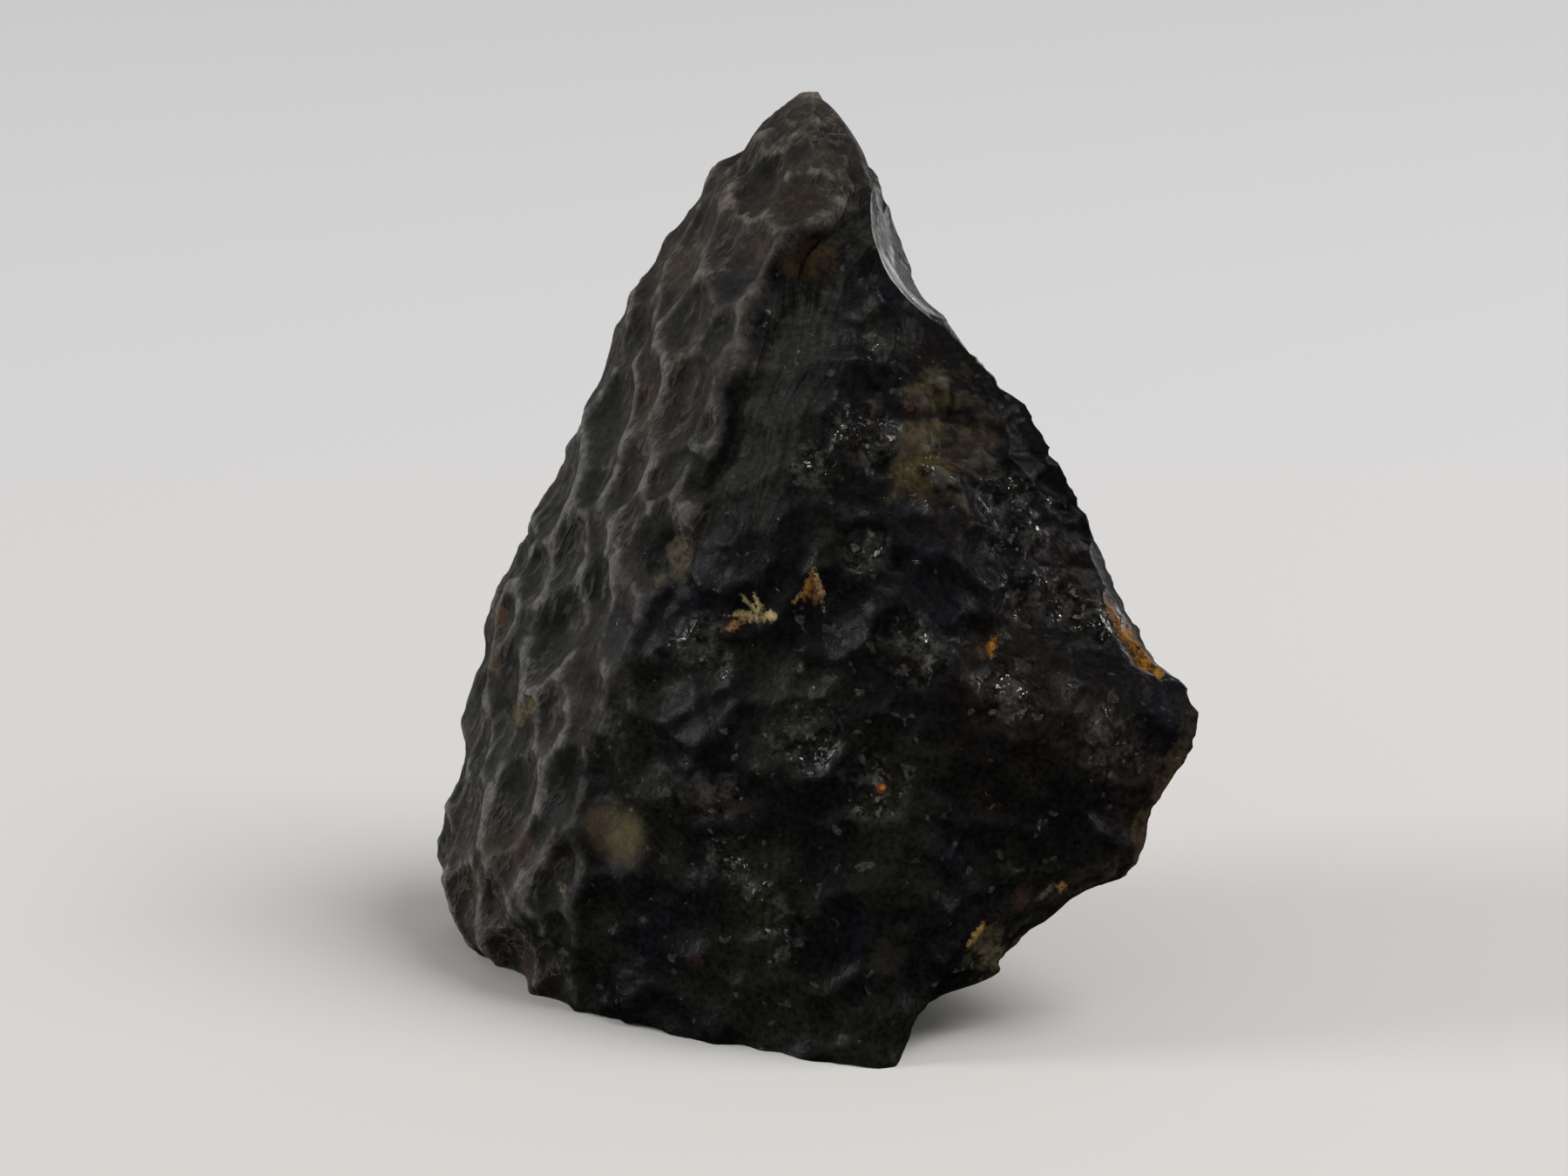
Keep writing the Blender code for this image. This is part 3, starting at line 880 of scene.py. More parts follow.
@dataclass(frozen=True)
class Breaks:
    """The flakes struck off the stone, and the broken foot that it stands on."""

    flakes: tuple[Flake, ...] = FLAKES
    ball_spacing: float = 0.26
    rough_height: float = 0.04
    rough_length: float = 1.6
    hollow_slack: float = 0.08
    foot_cells: int = 150
    foot_reach: float = 30.0
    foot_relief: float = 0.30
    foot_length: float = 3.0
    foot_facing: float = -0.8

    def ball(self, flake: Flake) -> bpy.types.Object:
        """The ball that leaves a flake's hollow, with ripples that spread from where it was struck.

        Args:
            flake: The flake.

        Returns:
            The ball, as a cutter.
        """
        bm = bmesh.new()
        fine = round(math.log2(max(flake.radii) / self.ball_spacing))
        bmesh.ops.create_icosphere(bm, subdivisions=fine, radius=1)
        bmesh.ops.scale(bm, verts=bm.verts, vec=Vector(flake.radii) * MM)
        struck = (Vector(flake.struck_from) - Vector(flake.middle)) * MM
        for vert in bm.verts:
            ring = (vert.co - struck).length / (flake.ripple_length * MM)
            wave = flake.ripple_height * MM * (1 / (1 + ring)) * math.sin(math.tau * ring)
            rough = noise.fractal(vert.co / (self.rough_length * MM), 0.8, 2.0, 3)
            vert.co += vert.co.normalized() * (wave + self.rough_height * MM * rough)
        bmesh.ops.translate(bm, verts=bm.verts, vec=Vector(flake.middle) * MM)
        bmesh.ops.transform(bm, matrix=leaned(), verts=bm.verts)
        return self.cutter(bm, flake.name)

    def ground(self) -> bpy.types.Object:
        """The block below the ground, whose slightly uneven top leaves the broken foot.

        Returns:
            The block, as a cutter.
        """
        bm = bmesh.new()
        cells = self.foot_cells
        bmesh.ops.create_grid(bm, x_segments=cells, y_segments=cells, size=self.foot_reach * MM)
        top = list(bm.verts)
        made = bmesh.ops.extrude_face_region(bm, geom=bm.faces[:])
        below = [part for part in made["geom"] if isinstance(part, bmesh.types.BMVert)]
        bmesh.ops.translate(bm, verts=below, vec=(0, 0, -self.foot_reach * MM))
        for vert in top:
            lift = noise.fractal(vert.co / (self.foot_length * MM) + Vector((3, 1, 7)), 0.7, 2.0, 4)
            vert.co.z = self.foot_relief * MM * max(0.0, lift)
        bmesh.ops.recalc_face_normals(bm, faces=bm.faces)
        return self.cutter(bm, "ground")

    def cutter(self, bm: bmesh.types.BMesh, name: str) -> bpy.types.Object:
        """Makes a hidden object.

        Args:
            bm: Its shape.
            name: Its name.

        Returns:
            The object.
        """
        made = linked(name, mesh_of(bm, name))
        made.hide_render = True
        return made

    def cut(self, stone: bpy.types.Object) -> None:
        """Takes every flake and the ground out of the stone, and puts the result in its mesh.

        Args:
            stone: The stone.
        """
        cutters = [self.ball(flake) for flake in self.flakes] + [self.ground()]
        for cutter in cutters:
            modifier = stone.modifiers.new(cutter.name, "BOOLEAN")
            modifier.operation = "DIFFERENCE"
            modifier.solver = "MANIFOLD"
            modifier.object = cutter
        graph = bpy.context.evaluated_depsgraph_get()
        result = bpy.data.meshes.new_from_object(stone.evaluated_get(graph))
        stone.modifiers.clear()
        stone.data = result
        for cutter in cutters:
            bpy.data.objects.remove(cutter)

    def on_flake(self, points: np.ndarray) -> np.ndarray:
        """Finds the points that lie on the hollow of a flake.

        Args:
            points: Points in the face frame, in metres.

        Returns:
            Whether each of them does.
        """
        found = np.zeros(len(points), bool)
        for flake in self.flakes:
            radii = np.array(flake.radii)
            share = np.linalg.norm((points / MM - np.array(flake.middle)) / radii, axis=1)
            found |= np.abs(share - 1) * radii.min() < flake.ripple_height + self.hollow_slack
        return found


class Part(Enum):
    """The parts of the stone's surface, by material index."""

    OLD = 0
    FRESH = 1
    FOOT = 2


@dataclass
class Stone:
    """The stone: its skin, its wear and its breaks."""

    skin: Skin
    wear: Wear
    breaks: Breaks
    ridge_rounds: int = 7
    crease_rounds: int = 26

    def build(self) -> bpy.types.Object:
        """Makes the stone in its place, with its masks stored on its points.

        Returns:
            The stone's object, at the origin.
        """
        mesh, turns = self.skin.blank()
        surface = Surface(mesh, turns)
        self.wear.apply(surface, self.skin)
        masks = {
            "front": DULL_BORDER.share(surface),
            "flow": flow_share(surface),
            "lines": flow_place(surface),
            "glinting": cluster_share(surface),
            # The limb mask drives a pale painted sheen on the left-facing skin.
            "limb": painted_limb_sheen(surface),
        }
        mesh.transform(leaned())
        stone = linked("tektite_stone", mesh)
        self.breaks.cut(stone)
        self.store_masks(stone.data, surface, masks)
        return stone

    def store_masks(self, mesh: bpy.types.Mesh, surface: Surface, masks: dict[str, np.ndarray]) -> None:
        """Sorts the faces by part and stores the masks that the finishes read.

        Args:
            mesh: The cut mesh, in its place.
            surface: The worn skin, in the face frame.
            masks: What is known of each point of the worn skin, by name.
        """
        points = points_of(mesh)
        lean = np.array(leaned())
        unleaned = (points - lean[:3, 3]) @ lean[:3, :3]
        nearest = [surface.tree.find(point)[1:] for point in unleaned]
        index = np.array([item[0] for item in nearest])
        gap = np.array([item[1] for item in nearest]) / MM
        self.sort_faces(mesh, self.breaks.on_flake(unleaned) & (gap > NEW_GAP))
        masks = {name: values[index] for name, values in masks.items()}
        masks["facing_up"] = outward_of(mesh)[:, 2]
        masks["ridge"] = convexity(mesh, points, self.ridge_rounds)
        masks["crease"] = convexity(mesh, points, self.crease_rounds)
        masks["thin"] = thinness(mesh)
        for name, values in masks.items():
            layer = mesh.attributes.new(name, "FLOAT", "POINT")
            layer.data.foreach_set("value", values.astype(np.float32))

    def sort_faces(self, mesh: bpy.types.Mesh, broken: np.ndarray) -> None:
        """Gives each face the material index of its part, and sharpens the rims of the breaks.

        Args:
            mesh: The cut mesh, in its place.
            broken: Whether each of its points lies on the hollow of a flake.
        """
        foot_top = self.breaks.foot_relief * MM
        bm = bmesh.new()
        bm.from_mesh(mesh)
        for face in bm.faces:
            face.smooth = True
            face.material_index = Part.OLD.value
            if all(broken[vert.index] for vert in face.verts):
                face.material_index = Part.FRESH.value
            elif face.normal.z < self.breaks.foot_facing and face.calc_center_median().z < foot_top:
                face.material_index = Part.FOOT.value
        for edge in bm.edges:
            edge.smooth = len({face.material_index for face in edge.link_faces}) == 1
        bm.to_mesh(mesh)
        bm.free()


def convexity(mesh: bpy.types.Mesh, points: np.ndarray, rounds: int) -> np.ndarray:
    """How much the mesh stands out at each point.

    Args:
        mesh: The mesh.
        points: Its points.
        rounds: How many times the points are evened out before they are compared.

    Returns:
        Values about -1 in a pit and 1 on a ridge.
    """
    ends = edges_of(mesh)
    smooth = np.column_stack([evened(points[:, axis], ends, rounds) for axis in range(3)])
    out = ((points - smooth) * outward_of(mesh)).sum(axis=1) / MM
    return np.clip(out / (np.std(out) * 2.5), -1, 1)


def thinness(mesh: bpy.types.Mesh, most: float = 4.0, start: float = 0.05) -> np.ndarray:
    """How thin the stone is behind each point.

    Args:
        mesh: The stone's mesh.
        most: How deep its other side is looked for, in millimetres.
        start: How far below the point the search starts, in millimetres.

    Returns:
        Values from 0 where it is that thick or more to 1 at a knife edge.
    """
    bm = bmesh.new()
    bm.from_mesh(mesh)
    tree = BVHTree.FromBMesh(bm)
    found = np.zeros(len(mesh.vertices))
    for vert in bm.verts:
        below = vert.co - vert.normal * (start * MM)
        hit = tree.ray_cast(below, -vert.normal, most * MM)
        if hit[0] is not None:
            found[vert.index] = 1 - hit[3] / (most * MM)
    bm.free()
    return np.clip(found, 0, 1)


Socket = bpy.types.NodeSocket
Colour = tuple[float, float, float]


class Graph:
    """Short ways to add nodes to a tree and to join them, round the coordinates that they read."""

    where: Socket

    def __init__(self, tree: bpy.types.NodeTree) -> None:
        """Takes the tree that the nodes go into."""
        self.tree = tree

    def add(self, kind: str, inputs: dict | None = None, **settings: object) -> bpy.types.Node:
        """Adds a node.

        Args:
            kind: The node's type.
            inputs: What goes into its sockets, by name or number: a socket to join, or a value.
            settings: The node's own settings.

        Returns:
            The node.
        """
        node = self.tree.nodes.new(kind)
        for name, value in settings.items():
            setattr(node, name, value)
        for name, value in (inputs or {}).items():
            self.feed(node.inputs[name], value)
        return node

    def feed(self, socket: Socket, value: object) -> None:
        """Gives a socket what it takes.

        Args:
            socket: The socket.
            value: A socket to join it to, or the value to set it to.
        """
        if isinstance(value, Socket):
            self.tree.links.new(value, socket)
        elif socket.type == "RGBA" and len(value) == 3:
            socket.default_value = (*value, 1.0)
        else:
            socket.default_value = value

    def math(self, operation: str, first: object, second: object = 0.0, clamp: bool = False) -> Socket:
        """One operation on two values, held between 0 and 1 if clamp is set."""
        inputs = {0: first, 1: second}
        return self.add("ShaderNodeMath", inputs, operation=operation, use_clamp=clamp).outputs[0]

    def plus(self, *values: object) -> Socket:
        """The sum of the values."""
        return reduce(partial(self.math, "ADD"), values)

    def times(self, *values: object) -> Socket:
        """The product of the values."""
        return reduce(partial(self.math, "MULTIPLY"), values)

    def minus(self, first: object, second: object) -> Socket:
        """The first value less the second."""
        return self.math("SUBTRACT", first, second)

    def most(self, first: object, second: object) -> Socket:
        """The greater of two values."""
        return self.math("MAXIMUM", first, second)

    def vector(self, operation: str, *values: object) -> Socket:
        """One operation on vectors or colours."""
        return self.add("ShaderNodeVectorMath", dict(enumerate(values)), operation=operation).outputs[0]

    def axis(self, name: str) -> Socket:
        """One of the coordinates, by its letter."""
        return self.add("ShaderNodeSeparateXYZ", {0: self.where}).outputs[name]

    def mix(self, share: object, low: object, high: object) -> Socket:
        """The colour a share of the way from low to high."""
        return self.add("ShaderNodeMix", {0: share, 6: low, 7: high}, data_type="RGBA").outputs[2]

    def span(
        self, value: object, low: object, high: object, first: object = 0.0, last: object = 1.0
    ) -> Socket:
        """The value moved from between low and high to between first and last, and held there."""
        inputs = {0: value, 1: low, 2: high, 3: first, 4: last}
        return self.add("ShaderNodeMapRange", inputs, interpolation_type="SMOOTHSTEP").outputs[0]

    def noise(
        self, scale: object, detail: float = 2.0, roughness: float = 0.5, where: Socket | None = None
    ) -> Socket:
        """Smooth noise from 0 to 1, in the graph's coordinates or in others."""
        inputs = {"Vector": where or self.where, "Scale": scale, "Detail": detail, "Roughness": roughness}
        return self.add("ShaderNodeTexNoise", inputs).outputs[0]

    def drawn_out(self, lean: float, share: float) -> Socket:
        """Coordinates on which a pattern is drawn out along a line that leans to the right.

        Args:
            lean: How far it leans, in radians.
            share: How much finer the pattern is across that line than along it.

        Returns:
            The coordinates.
        """
        turn = {"Vector": self.where, "Rotation": (0.0, -lean, 0.0)}
        turned = self.add("ShaderNodeMapping", turn).outputs[0]
        squeeze = {"Vector": turned, "Scale": (1.0, 1.0, share)}
        return self.add("ShaderNodeMapping", squeeze).outputs[0]

    def mask(self, name: str) -> Socket:
        """A mask that is stored on the stone's points."""
        return self.add("ShaderNodeAttribute", attribute_name=name).outputs["Fac"]

    def group(self, tree: bpy.types.NodeTree, **inputs: object) -> Socket:
        """The output of a shared effect, with its own values."""
        inputs = {"Coordinates": self.where} | inputs
        return self.add("ShaderNodeGroup", inputs, node_tree=tree).outputs[0]


class Effect(Graph):
    """The graph of a shared effect, which is a node group."""

    def __init__(self, name: str, values: tuple[str, ...], vectors: tuple[str, ...] = ()) -> None:
        """Starts the effect.

        Args:
            name: Its name.
            values: The names of the values that it takes.
            vectors: The names of the vectors that it takes besides its coordinates.
        """
        super().__init__(bpy.data.node_groups.new(name, "ShaderNodeTree"))
        sockets = self.tree.interface
        for title in ("Coordinates", *vectors):
            sockets.new_socket(title, in_out="INPUT", socket_type="NodeSocketVector")
        for title in values:
            sockets.new_socket(title, in_out="INPUT", socket_type="NodeSocketFloat")
        sockets.new_socket("Result", in_out="OUTPUT", socket_type="NodeSocketFloat")
        self.given = self.add("NodeGroupInput").outputs
        self.where = self.given["Coordinates"]

    def finished(self, result: Socket) -> bpy.types.NodeTree:
        """Joins the result to the effect's output, and gives its node group."""
        self.add("NodeGroupOutput", {0: result})
        return self.tree


class Coat(Graph):
    """The graph of a material, in the object's coordinates."""

    def __init__(self, name: str) -> None:
        """Starts the material.

        Args:
            name: Its name.
        """
        self.material = bpy.data.materials.new(name)
        self.material.use_nodes = True
        self.material.node_tree.nodes.clear()
        super().__init__(self.material.node_tree)
        self.where = self.add("ShaderNodeTexCoord").outputs["Object"]

    def finished(
        self, colour: Socket, rough: object, level: float = 0.5, **more: Socket
    ) -> bpy.types.Material:
        """Joins the surface to the material's output.

        Args:
            colour: Its colour.
            rough: Its roughness.
            level: How strongly it reflects, where 0.5 is plain glass.
            more: Its normal, where it has one.

        Returns:
            The material.
        """
        inputs = {"Base Color": colour, "Roughness": rough, "IOR": 1.5, "Specular IOR Level": level}
        shader = self.add("ShaderNodeBsdfPrincipled", inputs | more)
        self.add("ShaderNodeOutputMaterial", {"Surface": shader.outputs[0]})
        return self.material

    def bump(self, height: Socket, distance: float, strength: float) -> Socket:
        """The normal of a surface with some relief."""
        inputs = {"Height": height, "Distance": distance, "Strength": strength}
        return self.add("ShaderNodeBump", inputs).outputs[0]


@dataclass
class Effects:
    """The shared effects, each built once."""

    mottle: bpy.types.NodeTree
    stain: bpy.types.NodeTree
    grit: bpy.types.NodeTree
    flecks: bpy.types.NodeTree

    @classmethod
    def build(cls) -> "Effects":
        """Builds every shared effect."""
        return cls(cls.make_mottle(), cls.make_stain(), cls.make_grit(), cls.make_flecks())

    @staticmethod
    def make_mottle() -> bpy.types.NodeTree:
        """Cloudy patches: 1 where the noise passes Level, with soft borders of width Soft.

        Returns:
            The effect.
        """
        graph = Effect("Mottle", ("Scale", "Level", "Soft"))
        level = graph.given["Level"]
        clouds = graph.noise(graph.given["Scale"], 4.0, 0.6)
        return graph.finished(graph.span(clouds, level, graph.plus(level, graph.given["Soft"])))

    @staticmethod
    def make_stain() -> bpy.types.NodeTree:
        """A ragged patch round Centre, as far as Reach along each axis after a Turn about the depth.

        Returns:
            The effect.
        """
        graph = Effect("Stain", ("Turn", "Ragged", "Heart"), ("Centre", "Reach"))
        away = graph.vector("SUBTRACT", graph.where, graph.given["Centre"])
        turn = {"Vector": away, "Angle": graph.given["Turn"]}
        turned = graph.add("ShaderNodeVectorRotate", turn, rotation_type="Y_AXIS").outputs[0]
        share = graph.vector("DIVIDE", turned, graph.given["Reach"])
        distance = graph.add("ShaderNodeVectorMath", {0: share}, operation="LENGTH").outputs["Value"]
        ragged = graph.plus(distance, graph.given["Ragged"])
        return graph.finished(graph.span(ragged, 1.0, graph.given["Heart"]))

    @staticmethod
    def make_grit() -> bpy.types.NodeTree:
        """The height of a fine grainy surface: two grain sizes and small sharp pits.

        Returns:
            The effect.
        """
        graph = Effect("Grit", ("Scale", "Pits"))
        scale = graph.given["Scale"]
        fine = graph.noise(scale, 4.0, 0.65)
        wide = {"Vector": graph.where, "Scale": graph.times(scale, 0.45)}
        cells = graph.add("ShaderNodeTexVoronoi", wide).outputs["Distance"]
        pit = graph.span(cells, 0.0, 0.32, -1.0, 0.0)
        return graph.finished(graph.plus(fine, graph.times(pit, graph.given["Pits"])))

    @staticmethod
    def make_flecks() -> bpy.types.NodeTree:
        """Small ragged flecks: the share Amount of all cells holds one, up to Size wide.

        Returns:
            The effect.
        """
        graph = Effect("Flecks", ("Scale", "Amount", "Size"))
        scale = graph.given["Scale"]
        bend = graph.add("ShaderNodeTexNoise", {"Vector": graph.where, "Scale": scale}).outputs["Color"]
        where = graph.vector("ADD", graph.where, graph.vector("MULTIPLY", bend, (0.0007, 0.0007, 0.0007)))
        cells = graph.add("ShaderNodeTexVoronoi", {"Vector": where, "Scale": scale})
        parts = graph.add("ShaderNodeSeparateColor", {0: cells.outputs["Color"]}).outputs
        held = graph.math("LESS_THAN", parts[0], graph.given["Amount"])
        wide = graph.times(graph.given["Size"], parts[1])
        fleck = graph.span(cells.outputs["Distance"], wide, graph.times(wide, 0.5))
        return graph.finished(graph.times(held, fleck))


@dataclass(frozen=True)
class Stain:
    """A patch of soil or rust on the stone, or of painted shade in a hollow: its place, reach, colour and
    lean.
    """

    name: str
    across: float
    up: float
    wide: float
    tall: float
    colour: Colour
    ragged: float = 1.0
    strength: float = 1.0
    lean: float = 0.0


# A stain narrower than this, in millimetres, has a finer border.
NARROW = 0.42

STRAW: Colour = (0.360, 0.280, 0.125)
RUST: Colour = (0.300, 0.140, 0.045)
OCHRE: Colour = (0.340, 0.135, 0.010)

STAINS = tuple(Stain(*row) for row in (
    ("window rim", 4.5, 30.0, 0.22, 0.45, (0.120, 0.050, 0.020), 1.4, 0.8, -20.0),
    ("window rim low", 4.6, 28.8, 0.20, 0.40, (0.120, 0.055, 0.022), 1.4, 0.8, 15.0),
    ("left spot", -8.6, 10.4, 1.75, 2.0, (0.122, 0.100, 0.045), 0.4, 0.95),
    ("left spot rim", -9.9, 10.9, 0.80, 1.2, (0.095, 0.052, 0.026), 0.3, 0.6),
    ("long spot", -6.0, 23.0, 0.75, 1.45, (0.120, 0.098, 0.062), 0.8, 0.9, 15.0),
    ("long spot foot", -6.9, 22.1, 0.35, 0.45, (0.120, 0.100, 0.064), 1.0, 0.7, 40.0),
    ("strand low", -3.35, 20.10, 0.24, 0.75, RUST, 1.8, 0.95, 55.0),
    ("strand left", -3.30, 20.55, 0.18, 0.50, STRAW, 1.8, 0.90, 80.0),
    ("strand arm", -2.50, 20.40, 0.28, 0.80, STRAW, 1.6, 1.0, 84.0),
    ("strand high", -2.75, 21.00, 0.17, 0.60, STRAW, 1.8, 0.95, -45.0),
    ("strand tall", -2.35, 21.05, 0.20, 0.60, STRAW, 1.8, 0.95, -22.0),
    ("strand knob", -1.80, 20.50, 0.42, 0.36, (0.46, 0.37, 0.16), 1.2, 1.0),
    ("stroke ground", 0.1, 21.7, 0.50, 0.80, (0.200, 0.085, 0.028), 1.2, 0.85),
    ("stroke left", -0.15, 21.8, 0.20, 0.95, OCHRE, 1.6, 0.95, 16.0),
    ("stroke right", 0.40, 21.8, 0.20, 1.00, (0.42, 0.25, 0.11), 1.6, 0.95, -14.0),
    ("stroke foot", -0.55, 21.3, 0.14, 0.40, RUST, 1.6, 0.9, 40.0),
    ("right fleck", 8.2, 19.0, 0.26, 0.55, OCHRE, 1.3, 0.9, 20.0),
    ("right fleck ground", 7.6, 18.9, 0.55, 0.45, (0.070, 0.036, 0.018), 1.4, 0.7),
    ("small fleck rim", 3.2, 12.7, 0.34, 0.30, (0.220, 0.030, 0.006), 0.6, 0.95),
    ("small fleck", 3.25, 12.72, 0.20, 0.17, (0.80, 0.40, 0.05), 0.4, 1.0),
    ("lower fleck", 7.6, 6.0, 0.30, 0.80, (0.440, 0.230, 0.045), 1.2, 0.9, 35.0),
    ("corner amber", 8.3, 4.9, 0.75, 1.10, (0.105, 0.088, 0.042), 1.2, 0.75, 20.0),
    ("shelf red", 9.6, 7.6, 0.55, 0.90, (0.060, 0.018, 0.010), 1.2, 0.7, 30.0),
    ("shelf rust", 11.5, 8.1, 0.30, 0.36, (0.340, 0.170, 0.050), 1.4, 0.8, 30.0),
    ("shelf pale", 10.8, 7.9, 0.22, 0.60, (0.130, 0.085, 0.060), 1.6, 0.7, 50.0),
    ("shelf brown", 12.9, 8.9, 0.50, 1.90, (0.030, 0.020, 0.012), 1.2, 0.6, 66.0),
    ("lower fleck ground", 7.9, 5.6, 0.90, 1.20, (0.100, 0.068, 0.026), 1.2, 0.6, 35.0),
    ("edge soil start", 13.9, 20.6, 0.26, 0.80, (0.190, 0.080, 0.014), 1.2, 0.9, -22.0),
    ("edge soil", 14.6, 19.4, 0.34, 0.95, OCHRE, 1.7, 0.95, -32.0),
    ("edge soil low", 15.3, 18.4, 0.40, 0.75, OCHRE, 1.5, 1.0, -35.0),
    ("edge soil end", 15.9, 17.8, 0.45, 0.30, (0.38, 0.155, 0.012), 0.8, 1.0, -60.0),
    ("foot fleck", -11.4, 7.8, 0.35, 0.35, (0.22, 0.19, 0.13), 1.4, 0.7),
    ("limb fleck", -15.6, 7.9, 0.4, 0.6, (0.17, 0.13, 0.08), 1.5, 0.7),
    ("limb olive", -14.6, 9.6, 1.0, 1.6, (0.060, 0.052, 0.030), 1.2, 0.6),
    ("limb rust", -13.2, 3.6, 0.6, 0.35, (0.13, 0.055, 0.030), 1.6, 0.6),
    # Dark reddish brown under the brow's ledge and beside the top hollow: partly rust, partly painted shade.
    ("brow rust and shade", -0.2, 36.8, 1.6, 1.2, (0.050, 0.027, 0.011), 0.9, 0.9),
    ("top hollow shade", -0.6, 39.6, 1.5, 1.3, (0.030, 0.020, 0.012), 1.0, 0.75),
    ("upper limb rust", -14.5, 20.4, 0.5, 1.0, (0.120, 0.062, 0.034), 1.4, 0.6),
    ("limb yellow", -13.4, 15.9, 0.5, 1.4, (0.140, 0.105, 0.050), 1.4, 0.65, 40.0),
    ("limb red", -13.5, 9.9, 0.9, 1.2, (0.085, 0.048, 0.038), 1.2, 0.45),
    ("mound", -5.0, 12.4, 1.3, 1.0, (0.060, 0.050, 0.038), 1.0, 0.55),
    ("mound red", -3.4, 11.8, 0.8, 0.5, (0.045, 0.018, 0.009), 1.0, 0.5),
    ("disc", 3.4, 5.0, 1.0, 1.0, (0.026, 0.019, 0.010), 0.6, 0.5),
    ("low red", -5.3, 4.6, 0.5, 0.4, (0.060, 0.014, 0.010), 1.2, 0.4),
    ("limb warm", -14.9, 18.3, 0.6, 1.4, (0.085, 0.060, 0.036), 1.6, 0.55),
    ("brow warm", -7.5, 30.6, 0.8, 1.4, (0.070, 0.045, 0.032), 1.4, 0.5),
))


@dataclass(frozen=True)
class Window:
    """The patch of clearer glass near the upper right edge: its place, its reach and its colours."""

    across: float = 5.8
    up: float = 28.5
    wide: float = 2.9
    tall: float = 3.4
    lean: float = -12.0
    olive: Colour = (0.058, 0.048, 0.020)
    brown: Colour = (0.040, 0.027, 0.017)
    crack: Colour = (0.010, 0.008, 0.005)


